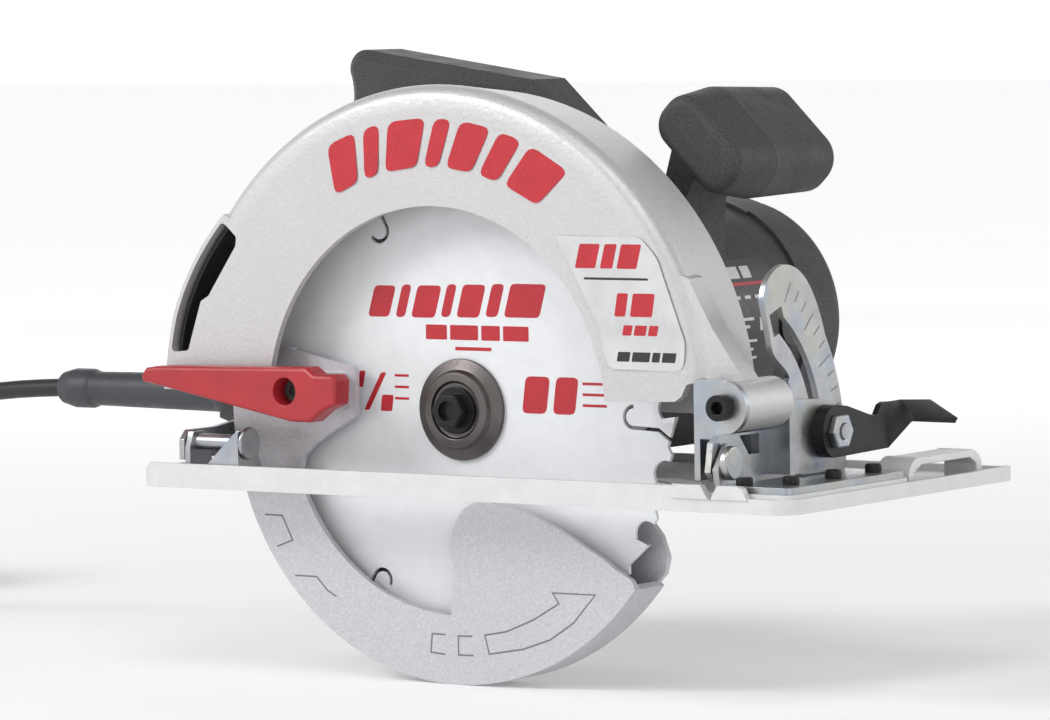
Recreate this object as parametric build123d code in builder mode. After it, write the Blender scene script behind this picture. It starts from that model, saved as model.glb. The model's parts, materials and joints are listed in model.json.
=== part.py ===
"""Circular saw, blade on the right of the motor, with a 7 1/4 inch (184 mm) blade.

Everything is modelled about the blade's centre: +X is the cutting direction, +Y points away from
the blade side towards the motor, +Z is up. Each finished piece is then moved into the saw's own
frame, whose origin lies on the underside of the shoe.
"""
from build123d import *
import os
from math import atan2, cos, degrees, hypot, pi, radians, sin, sqrt, tan

# ---------------------------------------------------------------- driving dimensions (mm)
BLADE_RADIUS = 184.15 / 2
BLADE_THICKNESS = 1.6
TEETH = 24
BORE_RADIUS = 15.875 / 2

SHOE_UNDERSIDE = -29.7          # below the blade's axis, at full depth
SHOE_SHEET = 2.0
SHOE_REAR, SHOE_FRONT = -125.0, 160.0
SHOE_NEAR, SHOE_FAR = -34.5, 124.0
SAW_FRAME = Location((-17.0, -62.0, -SHOE_UNDERSIDE))   # blade frame to the saw's frame

LOWER_RADIUS = 99.6             # lower guard
LOWER_NEAR, LOWER_FAR = -8.0, 11.0
LOWER_WALL = 2.5
HUB_RADIUS = 22.0               # what the lower guard turns on
UPPER_RADIUS = 118.0            # upper guard
UPPER_OPENING = 74.5
UPPER_NEAR, UPPER_FAR = -20.0, 20.0
CHUTE = ((117.6, 143), (119.6, 150), (121.6, 158), (122.7, 165), (122.7, 170), (123.4, 177.5))

GEAR_MODULE = 1.1
PINION_TEETH, GEAR_TEETH = 10, 46
MOTOR_X, MOTOR_Z = 18.0, 25.0   # the motor's axis
MOTOR_RADIUS = 46.0
MOTOR_WALL = 3.0
CASE_FAR, PLATE_FAR, MOTOR_FAR, CAP_FAR = 36.0, 48.0, 148.0, 163.0

DEPTH_X, DEPTH_Z = 128.5, 6.2   # depth pivot, along Y
DEPTH_BOLT_RADIUS = 4.0
BEVEL_Y, BEVEL_Z = -26.0, -13.0  # bevel pivot, along X
BEVEL_SLOT_RADIUS = 55.5
BEVEL_REST = 7.5                # the clamp bolt, seen from the bevel pivot, in degrees
BEVEL_TRAVEL = 50.0

HANDLE_NEAR, HANDLE_SEAM, HANDLE_FAR = 29.0, 44.0, 59.0
KNOB_X, KNOB_Z = 77.0, 95.0
KNOB_SEAM = 60.0

ARM_RADIUS = 227.5              # depth arm, about the depth pivot
ARM_REST = 179.0                # the depth lever's bolt, seen from the depth pivot
DEPTH_TRAVEL = 18.0

CORD_RADIUS = 3.55
CORD_Y = 45.0
FLOOR = -LOWER_RADIUS           # the lowest point of the saw, under the lower guard
RUNNING = 0.05                  # radial clearance of a shaft in its hole


# ---------------------------------------------------------------- places and small helpers
def across(y):
    """A plane square to the blade's axis: local x is X, local y is Z, extrusion goes towards -Y."""
    return Plane(origin=(0, y, 0), x_dir=(1, 0, 0), z_dir=(0, -1, 0))


def facing(x):
    """A plane square to the cut: local x is Y, local y is Z, extrusion goes towards +X."""
    return Plane(origin=(x, 0, 0), x_dir=(0, 1, 0), z_dir=(1, 0, 0))


def level(z):
    """A level plane: local x is X, local y is Y, extrusion goes up."""
    return Plane.XY.offset(z)


def polar(radius, angle, centre=(0.0, 0.0)):
    """The point at an angle in degrees, from +X towards +Z in an `across` sketch."""
    return (centre[0] + radius * cos(radians(angle)), centre[1] + radius * sin(radians(angle)))


def save(piece, name):
    """Write one finished piece, in the saw's own frame."""
    placed = piece.part.moved(SAW_FRAME)
    placed.label = name
    export_step(placed, f"parts/{name}.step")


def disc(far, depth, radius, bore=0.0, centre=(0.0, 0.0)):
    """A round piece along Y, from y = far towards -Y, with or without a bore."""
    with BuildPart() as round_piece:
        with BuildSketch(across(far)):
            with Locations(centre):
                Circle(radius)
                if bore:
                    Circle(bore, mode=Mode.SUBTRACT)
        extrude(amount=depth)
    return round_piece


def screw(far, length, radius, head_far, head_depth, head_radius, centre, socket=0.0):
    """A screw along Y whose head is its near end, with an optional hexagon socket in it."""
    with BuildPart() as fastener:
        with BuildSketch(across(far)):
            with Locations(centre):
                Circle(radius)
        extrude(amount=length)
        with BuildSketch(across(head_far)):
            with Locations(centre):
                Circle(head_radius)
        extrude(amount=head_depth)
        if socket:
            with BuildSketch(across(head_far - head_depth * 0.4)):
                with Locations(centre):
                    RegularPolygon(socket, 6)
            extrude(amount=head_depth, mode=Mode.SUBTRACT)
    return fastener


def gear_outline(teeth):
    """A spur gear's section: chords of involute flanks, thinned for backlash."""
    pitch = GEAR_MODULE * teeth / 2
    pressure = radians(22.0)
    base = pitch * cos(pressure)
    tip, root = pitch + 0.85 * GEAR_MODULE, pitch - 1.15 * GEAR_MODULE
    half_tooth = (pi * GEAR_MODULE / 2 - 0.16) / (2 * pitch)
    pitch_roll = tan(pressure) - pressure
    flank = []
    for step in range(4):
        radius = max(base, root) + (tip - max(base, root)) * step / 3
        roll = sqrt(max((radius / base) ** 2 - 1, 0.0))
        flank.append((radius, half_tooth + pitch_roll - (roll - atan2(roll, 1))))
    if root < base:
        flank.insert(0, (root, flank[0][1]))
    points = []
    for tooth in range(teeth):
        middle = 2 * pi * tooth / teeth
        for radius, half in flank:
            points.append((radius * cos(middle - half), radius * sin(middle - half)))
        for radius, half in reversed(flank):
            points.append((radius * cos(middle + half), radius * sin(middle + half)))
    return points


def gear(teeth, far, depth, bore_radius, centre=(0.0, 0.0), turn=0.0):
    """A spur gear along Y with a plain bore."""
    with BuildPart() as wheel:
        with BuildSketch(across(far)):
            with Locations(Location((*centre, 0), (0, 0, turn))):
                Polygon(*gear_outline(teeth), align=None)
            with Locations(centre):
                Circle(bore_radius, mode=Mode.SUBTRACT)
        extrude(amount=depth)
    return wheel


os.makedirs("parts", exist_ok=True)
MOTOR = (MOTOR_X, MOTOR_Z)
DEPTH = (DEPTH_X, DEPTH_Z)
ARM_BOLT = polar(ARM_RADIUS, ARM_REST, DEPTH)
BEVEL = (BEVEL_Y, BEVEL_Z)
BEVEL_BOLT = polar(BEVEL_SLOT_RADIUS, BEVEL_REST, BEVEL)

# ================================================================ blade and spindle
PITCH_ANGLE = 360 / TEETH
GULLET = 7.4
SLOT_WIDTH = 1.4


def spun(point, turn):
    """A point of an `across` sketch, turned about the blade's axis."""
    return polar(hypot(*point), degrees(atan2(point[1], point[0])) + turn)


with BuildPart() as blade:
    with BuildSketch(across(BLADE_THICKNESS / 2)):
        with BuildLine():
            for tooth in range(TEETH):
                lead = -tooth * PITCH_ANGLE
                tip = polar(BLADE_RADIUS, lead)
                notch = polar(BLADE_RADIUS - 3.0, lead - 7.0)
                shoulder = polar(BLADE_RADIUS - 1.0, lead - 8.6)
                heel = polar(BLADE_RADIUS - 1.6, lead - 10.2)
                gullet = polar(BLADE_RADIUS - GULLET, lead - 13.2)
                root = polar(BLADE_RADIUS - GULLET * 0.7, lead - PITCH_ANGLE - 0.9)
                Polyline(tip, notch, shoulder, heel)
                ThreePointArc(heel, gullet, root)
                Line(root, polar(BLADE_RADIUS, lead - PITCH_ANGLE))
        make_face()
        Circle(BORE_RADIUS, mode=Mode.SUBTRACT)
    extrude(amount=BLADE_THICKNESS)
    for turn in (0, 120, 240):
        with BuildSketch(across(BLADE_THICKNESS)):
            with BuildLine():
                Polyline(spun((90.0, -8.6), turn), spun((84.5, -4.9), turn), spun((74.6, -4.4), turn))
                ThreePointArc(spun((74.6, -4.4), turn), spun((70.2, -0.6), turn), spun((74.0, 3.2), turn))
            trace(line_width=SLOT_WIDTH)
        extrude(amount=2 * BLADE_THICKNESS, mode=Mode.SUBTRACT)
save(blade, "blade")

# flanged spindle: journal for the ball bearing, seat for the gear, stub for the rear bearing
SPINDLE_END = -3.0
with BuildPart() as spindle:
    with BuildSketch(Plane.XY):
        with BuildLine():
            Polyline((0, SPINDLE_END), (BORE_RADIUS - RUNNING, SPINDLE_END), (BORE_RADIUS - RUNNING, 4.0),
                     (8.5, 4.0), (8.5, 6.4), (7.5, 6.4), (7.5, 22.0), (6.5, 22.0), (6.5, 36.4),
                     (5.0, 36.4), (5.0, 46.0), (0, 46.0), (0, SPINDLE_END))
        make_face()
    revolve(axis=Axis.Y)
    with BuildSketch(across(SPINDLE_END + 7)):
        Circle(3.0)
    extrude(amount=8, mode=Mode.SUBTRACT)
save(spindle, "spindle")

with BuildPart() as inner_washer:
    with BuildSketch(Plane.XY):
        with BuildLine():
            Polyline((BORE_RADIUS, 0.8), (18.5, 0.8), (18.5, 3.0), (14.0, 4.0), (BORE_RADIUS, 4.0),
                     (BORE_RADIUS, 0.8))
        make_face()
    revolve(axis=Axis.Y)
save(inner_washer, "inner_washer")

with BuildPart() as outer_washer:
    with BuildSketch(Plane.XY):
        with BuildLine():
            Polyline((3.2, -3.2), (BORE_RADIUS + 0.1, -3.2), (BORE_RADIUS + 0.1, -0.8), (18.5, -0.8),
                     (18.5, -2.4), (14.5, -3.6), (13.6, -5.8), (10.6, -6.2), (10.0, -5.0), (3.2, -5.0),
                     (3.2, -3.2))
        make_face()
    revolve(axis=Axis.Y)
save(outer_washer, "outer_washer")

with BuildPart() as blade_bolt:
    with BuildSketch(across(3.0)):
        Circle(3.0)
    extrude(amount=8.2)
    with BuildSketch(across(-5.0)):
        Circle(8.6)
    extrude(amount=1.4)
    with BuildSketch(across(-6.4)):
        RegularPolygon(6.9, 6)
    extrude(amount=5.0)
    chamfer(blade_bolt.faces().sort_by(Axis.Y)[0].edges(), 0.5)
    with BuildSketch(across(-9.0)):
        Circle(3.6)
    extrude(amount=4.0, mode=Mode.SUBTRACT)
save(blade_bolt, "blade_bolt")

MOTOR_DIRECTION = degrees(atan2(MOTOR_Z, MOTOR_X))
save(gear(GEAR_TEETH, 34.0, 10.0, 6.5, turn=MOTOR_DIRECTION), "drive_gear")

# ================================================================ upper guard
CHUTE_WALL, CHUTE_FLOOR = 2.4, 11.0


def chute_outline(inset, foot):
    """The chip chute at the guard's rear, `inset` mm inside its outer face and down to z = foot."""
    outer = [polar(radius - inset, angle) for radius, angle in CHUTE]
    with BuildLine() as edge:
        Spline(*outer)
        Polyline(outer[-1], (-98, 4), (-84, 66), outer[0])
    make_face(edge.edges())
    Circle(106.0, mode=Mode.SUBTRACT)
    with Locations((-100, foot)):
        Rectangle(100, 100, align=(Align.CENTER, Align.MIN), mode=Mode.INTERSECT)


with BuildPart() as upper_guard:
    with BuildSketch(Plane.XY):
        with BuildLine():
            Line((UPPER_OPENING, -19.2), (108.0, UPPER_NEAR))
            Line((108.0, UPPER_NEAR), (112.0, -19.4))
            ThreePointArc((112.0, -19.4), (116.4, -17.4), (UPPER_RADIUS, -13.0))
            Polyline((UPPER_RADIUS, -13.0), (115.5, 16.0), (112.0, UPPER_FAR), (16.0, UPPER_FAR),
                     (16.0, 6.0), (HUB_RADIUS, 6.0), (HUB_RADIUS, 16.5), (109.0, 16.5), (111.5, 14.0),
                     (113.0, -12.0), (109.0, -16.2), (UPPER_OPENING, -16.2), (UPPER_OPENING, -19.2))
        make_face()
    revolve(axis=Axis.Y)
    with BuildSketch(across(16.0)):                     # chip chute, standing out at the rear
        chute_outline(0, 0)
    extrude(amount=16.0 + 19.2)
    with BuildSketch(across(13.0)):
        chute_outline(CHUTE_WALL, CHUTE_FLOOR)
    extrude(amount=13.0 + 16.4, mode=Mode.SUBTRACT)
    with BuildSketch(across(16.5)):                     # open below, around the hub
        Polygon((-130, -130), (130, -130), (130, 15), (116, 15), (109, 13), (107, 9), (104, 7),
                (70, 6), (-70, 8), (-98, 8), (-100, 5.4), (-130, 5.4), align=None)
        Circle(HUB_RADIUS + 0.01, mode=Mode.SUBTRACT)
    extrude(amount=40, mode=Mode.SUBTRACT)
    with BuildSketch(across(UPPER_FAR)):                # the far web ends level with the axis
        Rectangle(280, 130, align=(Align.CENTER, Align.MAX))
        Circle(29.0, mode=Mode.SUBTRACT)
    extrude(amount=3.5, mode=Mode.SUBTRACT)
    with BuildSketch(across(-11.0)) as chip_opening:    # in the near face, at the rear
        Polygon((-96, 69), (-87.5, 62.5), (-88, 59), (-101, 40.5), (-105, 38.5), (-111.5, 20),
                (-122, 19), (-122, 69), align=None)
        with BuildLine() as edge:
            Spline(*(polar(radius - 1.6, angle) for radius, angle in CHUTE))
            Polyline(polar(CHUTE[-1][0] - 1.6, CHUTE[-1][1]), (0, 0), polar(CHUTE[0][0] - 1.6, CHUTE[0][1]))
        make_face(edge.edges(), mode=Mode.INTERSECT)
        fillet(chip_opening.vertices(), 1.6)
    extrude(amount=12, mode=Mode.SUBTRACT)
    with BuildSketch(across(-7.0)):                     # front rib down to the hinge barrel
        Polygon((103, 52), (108.5, 50), (118, 33), (131, 14.8), (128.5, 2), (121, 1), (112, 14),
                (104, 30), align=None)
        Circle(112.0, mode=Mode.SUBTRACT)
    extrude(amount=10)
    with BuildSketch(across(5.0)):
        with Locations(DEPTH):
            Circle(9.0)
    extrude(amount=29)
    with BuildSketch(across(6.0)):
        with Locations(DEPTH):
            Circle(DEPTH_BOLT_RADIUS + RUNNING)
    extrude(amount=32, mode=Mode.SUBTRACT)
    with BuildSketch(across(UPPER_FAR)):
        with Locations(ARM_BOLT):
            Circle(3.0)
    extrude(amount=3.5, mode=Mode.SUBTRACT)
save(upper_guard, "upper_guard")

with BuildPart() as chip_liner:                         # dark strip inside the chute's outer wall
    with BuildSketch(across(12.8)):
        chute_outline(CHUTE_WALL + 0.2, CHUTE_FLOOR + 0.2)
    extrude(amount=12.8 + 16.0)
    with BuildSketch(across(12.8)):
        chute_outline(CHUTE_WALL + 1.6, 0)
    extrude(amount=40, mode=Mode.SUBTRACT)
save(chip_liner, "chip_liner")

save(disc(15.5, 9.0, 16.0, 7.5), "spindle_front_bearing")
save(disc(7.4, 1.0, HUB_RADIUS + 2.0, HUB_RADIUS), "guard_retainer")

# ================================================================ lower guard
LEVER_NEAR, LEVER_FAR = -32.0, -23.0
LEVER_SCREW_SEAT = LEVER_FAR - 1.5
LEVER_HOLE = (-57.7, 7.0)


def guard_sector():
    """Keep the part of a lower guard sketch from the front lip, under the axis, to the rear."""
    Polygon((-6, 6), polar(140, -38.2), polar(160, -90), polar(160, -135), polar(160, -180),
            polar(140, 165), align=None, mode=Mode.INTERSECT)


with BuildPart() as lower_guard:
    with BuildSketch(across(LOWER_FAR)):                # far web and its hub
        Circle(LOWER_RADIUS - 1.0)
        guard_sector()
        Polygon((0, 0), (66, -35.5), (74.8, -38.6), (79, -43.5), (81.8, -51.2), (80.4, -57), (76.6, -61),
                (60, -70), (0, -40), align=None)
        Circle(29.0)
        Circle(HUB_RADIUS + RUNNING, mode=Mode.SUBTRACT)
    extrude(amount=2.6)
    with BuildSketch(across(LOWER_FAR)):                # rim wall
        Circle(LOWER_RADIUS)
        Circle(LOWER_RADIUS - LOWER_WALL, mode=Mode.SUBTRACT)
        guard_sector()
    extrude(amount=LOWER_FAR - LOWER_NEAR)
    with BuildSketch(across(LOWER_NEAR + LOWER_WALL)):  # near ring
        Circle(LOWER_RADIUS - 0.4)
        Circle(UPPER_OPENING, mode=Mode.SUBTRACT)
        guard_sector()
        Polygon((0, 0), (50, -43.3), (63.7, -50.4), (76.8, -57.9), (140, -94), (140, 60), (0, 60),
                align=None, mode=Mode.SUBTRACT)
    extrude(amount=LOWER_WALL)
    with BuildSketch(across(LOWER_NEAR + LOWER_WALL)):  # nose over the front of the blade
        with BuildLine():
            Line((-4, -110), (-0.6, -56))
            Spline((-0.6, -56), (0.6, -41), (7, -34), (20, -33.2), (50, -43.3), (76.8, -57.9))
            Polyline((76.8, -57.9), (79, -62), (79, -110), (-4, -110))
        make_face()
        Circle(LOWER_RADIUS - 0.4, mode=Mode.INTERSECT)
    extrude(amount=LOWER_WALL)
    with BuildSketch(across(LOWER_NEAR + LOWER_WALL)):  # tab that carries the lever
        Polygon((-78, 22), (-43, 14.5), (-43, -3), (-62, -14), (-67.5, -19), (-71, -30), (-94, -24),
                (-97, 16), align=None)
    extrude(amount=LOWER_WALL)
    with BuildSketch(across(LOWER_NEAR)):               # boss under the lever
        with Locations((-55.0, 6.0)):
            RectangleRounded(19, 14, 3)
    extrude(amount=LOWER_NEAR - LEVER_FAR)
    with BuildSketch(across(LOWER_NEAR)):
        with Locations(LEVER_HOLE):
            Circle(2.0)
    extrude(amount=20, mode=Mode.SUBTRACT)
save(lower_guard, "lower_guard")

with BuildPart() as guard_lever:
    with BuildSketch(across(LEVER_FAR)):
        Polygon((-124.3, 11.4), (-122.3, 14.1), (-117.4, 14.8), (-54.5, 15.8), (-48, 16), (-44.3, 13.4),
                (-36, 13.5), (-34.2, 11.5), (-34.9, 2.6), (-40.9, 0.2), (-46.6, -4.1), (-55.9, -4),
                (-62.4, -2.7), (-121, 8.5), (-123.9, 8.8), align=None)
    extrude(amount=LEVER_FAR - LEVER_NEAR)
    chamfer(guard_lever.faces().sort_by(Axis.Y)[0].edges(), 1.0)
    with BuildSketch(across(LEVER_FAR)):
        with Locations(LEVER_HOLE):
            Circle(2.0)
    extrude(amount=12, mode=Mode.SUBTRACT)
    with BuildSketch(across(LEVER_SCREW_SEAT)):
        with Locations(LEVER_HOLE):
            Circle(5.0)
    extrude(amount=12, mode=Mode.SUBTRACT)
save(guard_lever, "guard_lever")
save(screw(-12.0, 13.0, 2.0, LEVER_SCREW_SEAT, 1.8, 4.0, LEVER_HOLE, socket=2.0), "lever_screw")
save(disc(15.8, 4.0, HUB_RADIUS + 5.0, HUB_RADIUS + 1.0), "guard_spring")

# ================================================================ gear case and bearing plate
with BuildPart() as gear_case:
    with BuildSketch(across(CASE_FAR)):
        Circle(29.4)
        with Locations(MOTOR):
            Circle(40.0)
        make_hull()
    extrude(amount=CASE_FAR - UPPER_FAR)
    with BuildSketch(across(CASE_FAR)):
        Circle(27.4)
        with Locations(MOTOR):
            Circle(15.0)
        make_hull()
    extrude(amount=CASE_FAR - UPPER_FAR - 2.5, mode=Mode.SUBTRACT)
    with BuildSketch(across(CASE_FAR)):
        Circle(9.5)
    extrude(amount=40, mode=Mode.SUBTRACT)
save(gear_case, "gear_case")

with BuildPart() as bearing_plate:
    with BuildSketch(across(PLATE_FAR)):
        Circle(17.0)
        with Locations(MOTOR):
            Circle(MOTOR_RADIUS - 1.0)
        make_hull()
    extrude(amount=PLATE_FAR - CASE_FAR)
    with BuildSketch(across(PLATE_FAR)):
        Circle(9.0)
        with Locations(MOTOR):
            Circle(13.0)
    extrude(amount=9.0, mode=Mode.SUBTRACT)
    with BuildSketch(across(PLATE_FAR)):
        Circle(7.0)
        with Locations(MOTOR):
            Circle(8.5)
    extrude(amount=20.0, mode=Mode.SUBTRACT)
save(bearing_plate, "bearing_plate")
save(disc(PLATE_FAR - 1, 8.0, 9.0, 5.0), "spindle_rear_bearing")
save(disc(PLATE_FAR - 1, 8.0, 13.0, 4.5, MOTOR), "motor_front_bearing")

# ================================================================ motor
with BuildPart() as motor_housing:
    with BuildSketch(across(MOTOR_FAR)):
        with Locations(MOTOR):
            Circle(MOTOR_RADIUS)
    extrude(amount=MOTOR_FAR - PLATE_FAR)
    with BuildSketch(across(MOTOR_FAR)):
        with Locations(MOTOR):
            Circle(MOTOR_RADIUS - MOTOR_WALL)
    extrude(amount=MOTOR_FAR - PLATE_FAR, mode=Mode.SUBTRACT)
    with BuildSketch(across(MOTOR_FAR + 1)):            # cooling slots at the far end
        for angle in (105, 120, 135, 240, 255, 270, 285, 300):
            with Locations(Location((*polar(MOTOR_RADIUS, angle, MOTOR), 0), (0, 0, angle))):
                Rectangle(12, 4)
    extrude(amount=16, mode=Mode.SUBTRACT)
    with BuildSketch(Plane(origin=(0, 122, MOTOR_Z), x_dir=(0, 1, 0), z_dir=(1, 0, 0))):
        Circle(8.0)                                     # brush holes, front and rear
    extrude(amount=80, both=True, mode=Mode.SUBTRACT)
save(motor_housing, "motor_housing")

with BuildPart() as end_cap:
    with BuildSketch(Plane(origin=(MOTOR_X, 0, MOTOR_Z))):
        with BuildLine():
            Polyline((0, CAP_FAR), (38, CAP_FAR))
            ThreePointArc((38, CAP_FAR), (43.4, CAP_FAR - 2.6), (MOTOR_RADIUS - 0.4, CAP_FAR - 8))
            Polyline((MOTOR_RADIUS - 0.4, CAP_FAR - 8), (MOTOR_RADIUS - 0.4, MOTOR_FAR),
                     (MOTOR_RADIUS - 3, MOTOR_FAR), (MOTOR_RADIUS - 3.4, CAP_FAR - 8),
                     (37, CAP_FAR - 3), (14, CAP_FAR - 3), (14, CAP_FAR - 13), (11, CAP_FAR - 13),
                     (11, CAP_FAR - 3), (0, CAP_FAR - 3), (0, CAP_FAR))
        make_face()
    revolve(axis=Axis((MOTOR_X, 0, MOTOR_Z), (0, 1, 0)))
    with BuildSketch(across(CAP_FAR + 1)):
        with Locations(MOTOR):
            with PolarLocations(27, 12):
                RectangleRounded(13, 4, 1.9)
    extrude(amount=6, mode=Mode.SUBTRACT)
save(end_cap, "motor_end_cap")

STATOR_FAR, STATOR_NEAR = 106.0, 68.0
with BuildPart() as stator:                             # laminations and their winding heads
    for far, depth, radius, bore in (
            (STATOR_FAR, STATOR_FAR - STATOR_NEAR, MOTOR_RADIUS - MOTOR_WALL, 27.0),
            (STATOR_NEAR, 8.0, 40.0, 29.0), (STATOR_FAR + 8.0, 8.0, 40.0, 29.0)):
        with BuildSketch(across(far)):
            with Locations(MOTOR):
                Circle(radius)
                Circle(bore, mode=Mode.SUBTRACT)
        extrude(amount=depth)
save(stator, "stator")
save(disc(CAP_FAR - 4.0, 8.0, 11.0, 4.5, MOTOR), "motor_rear_bearing")

pinion_turn = MOTOR_DIRECTION + 180 + 180 / PINION_TEETH
with BuildPart() as armature_shaft:
    with BuildSketch(across(35.0)):
        with Locations(Location((*MOTOR, 0), (0, 0, pinion_turn))):
            Polygon(*gear_outline(PINION_TEETH), align=None)
    extrude(amount=12)
    with BuildSketch(across(CAP_FAR - 4.5)):
        with Locations(MOTOR):
            Circle(4.5)
    extrude(amount=CAP_FAR - 4.5 - 36.0)
    with BuildSketch(across(36.0)):
        with Locations(MOTOR):
            Circle(4.0)
    extrude(amount=1.0)
save(armature_shaft, "armature_shaft")

with BuildPart() as armature_core:
    with BuildSketch(across(STATOR_FAR - 1)):
        with Locations(MOTOR):
            Circle(26.2)
            with PolarLocations(25.2, 16):
                Rectangle(5, 1.6, mode=Mode.SUBTRACT)
            Circle(4.5, mode=Mode.SUBTRACT)
    extrude(amount=STATOR_FAR - STATOR_NEAR - 2)
save(armature_core, "armature_core")
save(disc(130.0, 15.0, 13.0, 4.5, MOTOR), "commutator")

with BuildPart() as fan:
    with BuildSketch(across(58.0)):
        with Locations(MOTOR):
            Circle(36.0)
            Circle(4.5, mode=Mode.SUBTRACT)
    extrude(amount=1.8)
    with BuildSketch(across(56.2)):
        with Locations(MOTOR):
            Circle(9.0)
            with PolarLocations(26, 14):
                Rectangle(18, 1.5)
            Circle(4.5, mode=Mode.SUBTRACT)
    extrude(amount=5.2)
save(fan, "fan")

for side, name in ((-1, "rear"), (1, "front")):
    brush_plane = Plane(origin=(MOTOR_X, 122, MOTOR_Z), x_dir=(0, 1, 0), z_dir=(side, 0, 0))
    with BuildPart() as brush:
        with BuildSketch(brush_plane.offset(13.2)):
            Rectangle(9, 6)
        extrude(amount=14)
    save(brush, f"brush_{name}")
    with BuildPart() as brush_cap:                      # cap and holder are one piece
        with BuildSketch(brush_plane.offset(17.0)):
            Rectangle(12, 9)
            Rectangle(9, 6, mode=Mode.SUBTRACT)
        extrude(amount=25)
        with BuildSketch(brush_plane.offset(42.0)):
            Circle(8.0)
        extrude(amount=5.0)
        with BuildSketch(brush_plane.offset(45.6)):
            Rectangle(11, 1.8)
        extrude(amount=3, mode=Mode.SUBTRACT)
    save(brush_cap, f"brush_cap_{name}")

# ================================================================ rear handle
GRIP_TOP, GRIP_FOOT = (-54.0, 86.0), (-72.0, 48.0)      # front edge of the grip, at the trigger
GRIP_SLOPE = degrees(atan2(GRIP_TOP[1] - GRIP_FOOT[1], GRIP_TOP[0] - GRIP_FOOT[0]))
GRIP_MIDDLE = ((GRIP_TOP[0] + GRIP_FOOT[0]) / 2, (GRIP_TOP[1] + GRIP_FOOT[1]) / 2)
LOCK_PLACE, LOCK_RADIUS = (-66.0, 100.0), 5.6
HANDLE_SCREWS = ((19.0, 96.0), (-61.0, 113.0), (-106.0, -2.0))


def grip_place(into):
    """The place `into` mm behind the grip's front edge, level with the trigger's middle."""
    return Location((*polar(into, GRIP_SLOPE + 90, GRIP_MIDDLE), 0), (0, 0, GRIP_SLOPE))


def handle_outline():
    """The closed loop of the rear handle, with the finger opening cut out of it."""
    with BuildLine() as rim:
        Polyline((37, 62), (37, 92.5), (9, 118.8), (-64, 130))
        ThreePointArc((-64, 130), (-71, 128), (-73, 122))
        Spline((-73, 122), (-71.5, 112), (-82, 88), (-98, 56), (-114, 26), (-127, 9))
        Polyline((-127, 9), (-138, 7.5), (-138, -9.5), (-127, -13))
        Spline((-127, -13), (-100, -15.5), (-60, -19), (-10, -20))
        Polyline((-10, -20), (37, 62))
    make_face(rim.edges())
    with BuildLine() as opening:
        Spline((-14, 84), (-30, 94), (-47, 96), (-54, 86), (-63, 67), (-74, 44), (-84, 22), (-80, 9),
               (-66, 4))
        Polyline((-66, 4), (-36, 2), (0, 2), (0, 60), (-14, 84))
    make_face(opening.edges(), mode=Mode.SUBTRACT)
    with Locations(MOTOR):
        Circle(MOTOR_RADIUS + 0.02, mode=Mode.SUBTRACT)
    Circle(30.0, mode=Mode.SUBTRACT)


for name, far, depth, outer in (("handle_near", HANDLE_SEAM, HANDLE_SEAM - HANDLE_NEAR, 0),
                                ("handle_far", HANDLE_FAR, HANDLE_FAR - HANDLE_SEAM, -1)):
    with BuildPart() as half:
        with BuildSketch(across(far)):
            handle_outline()
        extrude(amount=depth)
        chamfer(half.faces().sort_by(Axis.Y)[outer].edges(), 4.0)
        with BuildSketch(across(HANDLE_SEAM + 8.2)):    # pocket for the trigger and the switch
            with Locations(grip_place(9.4)):
                Rectangle(41, 29)
        extrude(amount=16.4, mode=Mode.SUBTRACT)
        with BuildSketch(across(HANDLE_FAR + 1)):
            with Locations(*HANDLE_SCREWS):
                Circle(2.0)
        extrude(amount=HANDLE_FAR + 1 - HANDLE_NEAR - 4, mode=Mode.SUBTRACT)
        with BuildSketch(across(HANDLE_FAR + 1)):
            with Locations(*HANDLE_SCREWS):
                Circle(4.2)
        extrude(amount=4.0, mode=Mode.SUBTRACT)
        with BuildSketch(Plane(origin=(-139, CORD_Y, -1), x_dir=(0, 1, 0), z_dir=(1, 0, 0))):
            Circle(6.0)                                 # socket of the strain relief
        extrude(amount=22, mode=Mode.SUBTRACT)
        if name == "handle_far":
            with BuildSketch(across(HANDLE_FAR + 1)):
                with Locations(LOCK_PLACE):
                    Circle(LOCK_RADIUS)
            extrude(amount=10.0, mode=Mode.SUBTRACT)
    save(half, name)

with BuildPart() as handle_screws:                      # cross-headed, from the far side
    with BuildSketch(across(HANDLE_FAR - 2.8)):
        with Locations(*HANDLE_SCREWS):
            Circle(2.0)
    extrude(amount=22.0)
    with BuildSketch(across(HANDLE_FAR - 1.0)):
        with Locations(*HANDLE_SCREWS):
            Circle(4.0)
    extrude(amount=1.8)
    with BuildSketch(across(HANDLE_FAR)):
        with Locations(*HANDLE_SCREWS):
            Rectangle(5, 1)
            Rectangle(1, 5)
    extrude(amount=2.0, mode=Mode.SUBTRACT)
save(handle_screws, "handle_screws")

with BuildPart() as switch_body:
    with BuildSketch(across(HANDLE_SEAM + 7.5)):
        with Locations(grip_place(18.5)):
            Rectangle(34, 10.4)
    extrude(amount=15.0)
save(switch_body, "switch_body")

with BuildPart() as trigger:
    with BuildSketch(across(HANDLE_SEAM + 7.0)):
        with Locations(grip_place(-1.5)):
            Rectangle(38, 19)
        with Locations(grip_place(-14.0)):
            Circle(9.5, mode=Mode.SUBTRACT)
    extrude(amount=14.0)
save(trigger, "trigger")

save(disc(HANDLE_FAR + 4.0, 10.0, LOCK_RADIUS - 0.1, 0, LOCK_PLACE), "lock_button")

# ================================================================ front auxiliary handle
def knob_section(width, height):
    """The knob's rounded section, its long side sloping down towards the front."""
    with Locations(Location((KNOB_X, KNOB_Z, 0), (0, 0, -45))):
        RectangleRounded(width, height, height * 0.44)


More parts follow.
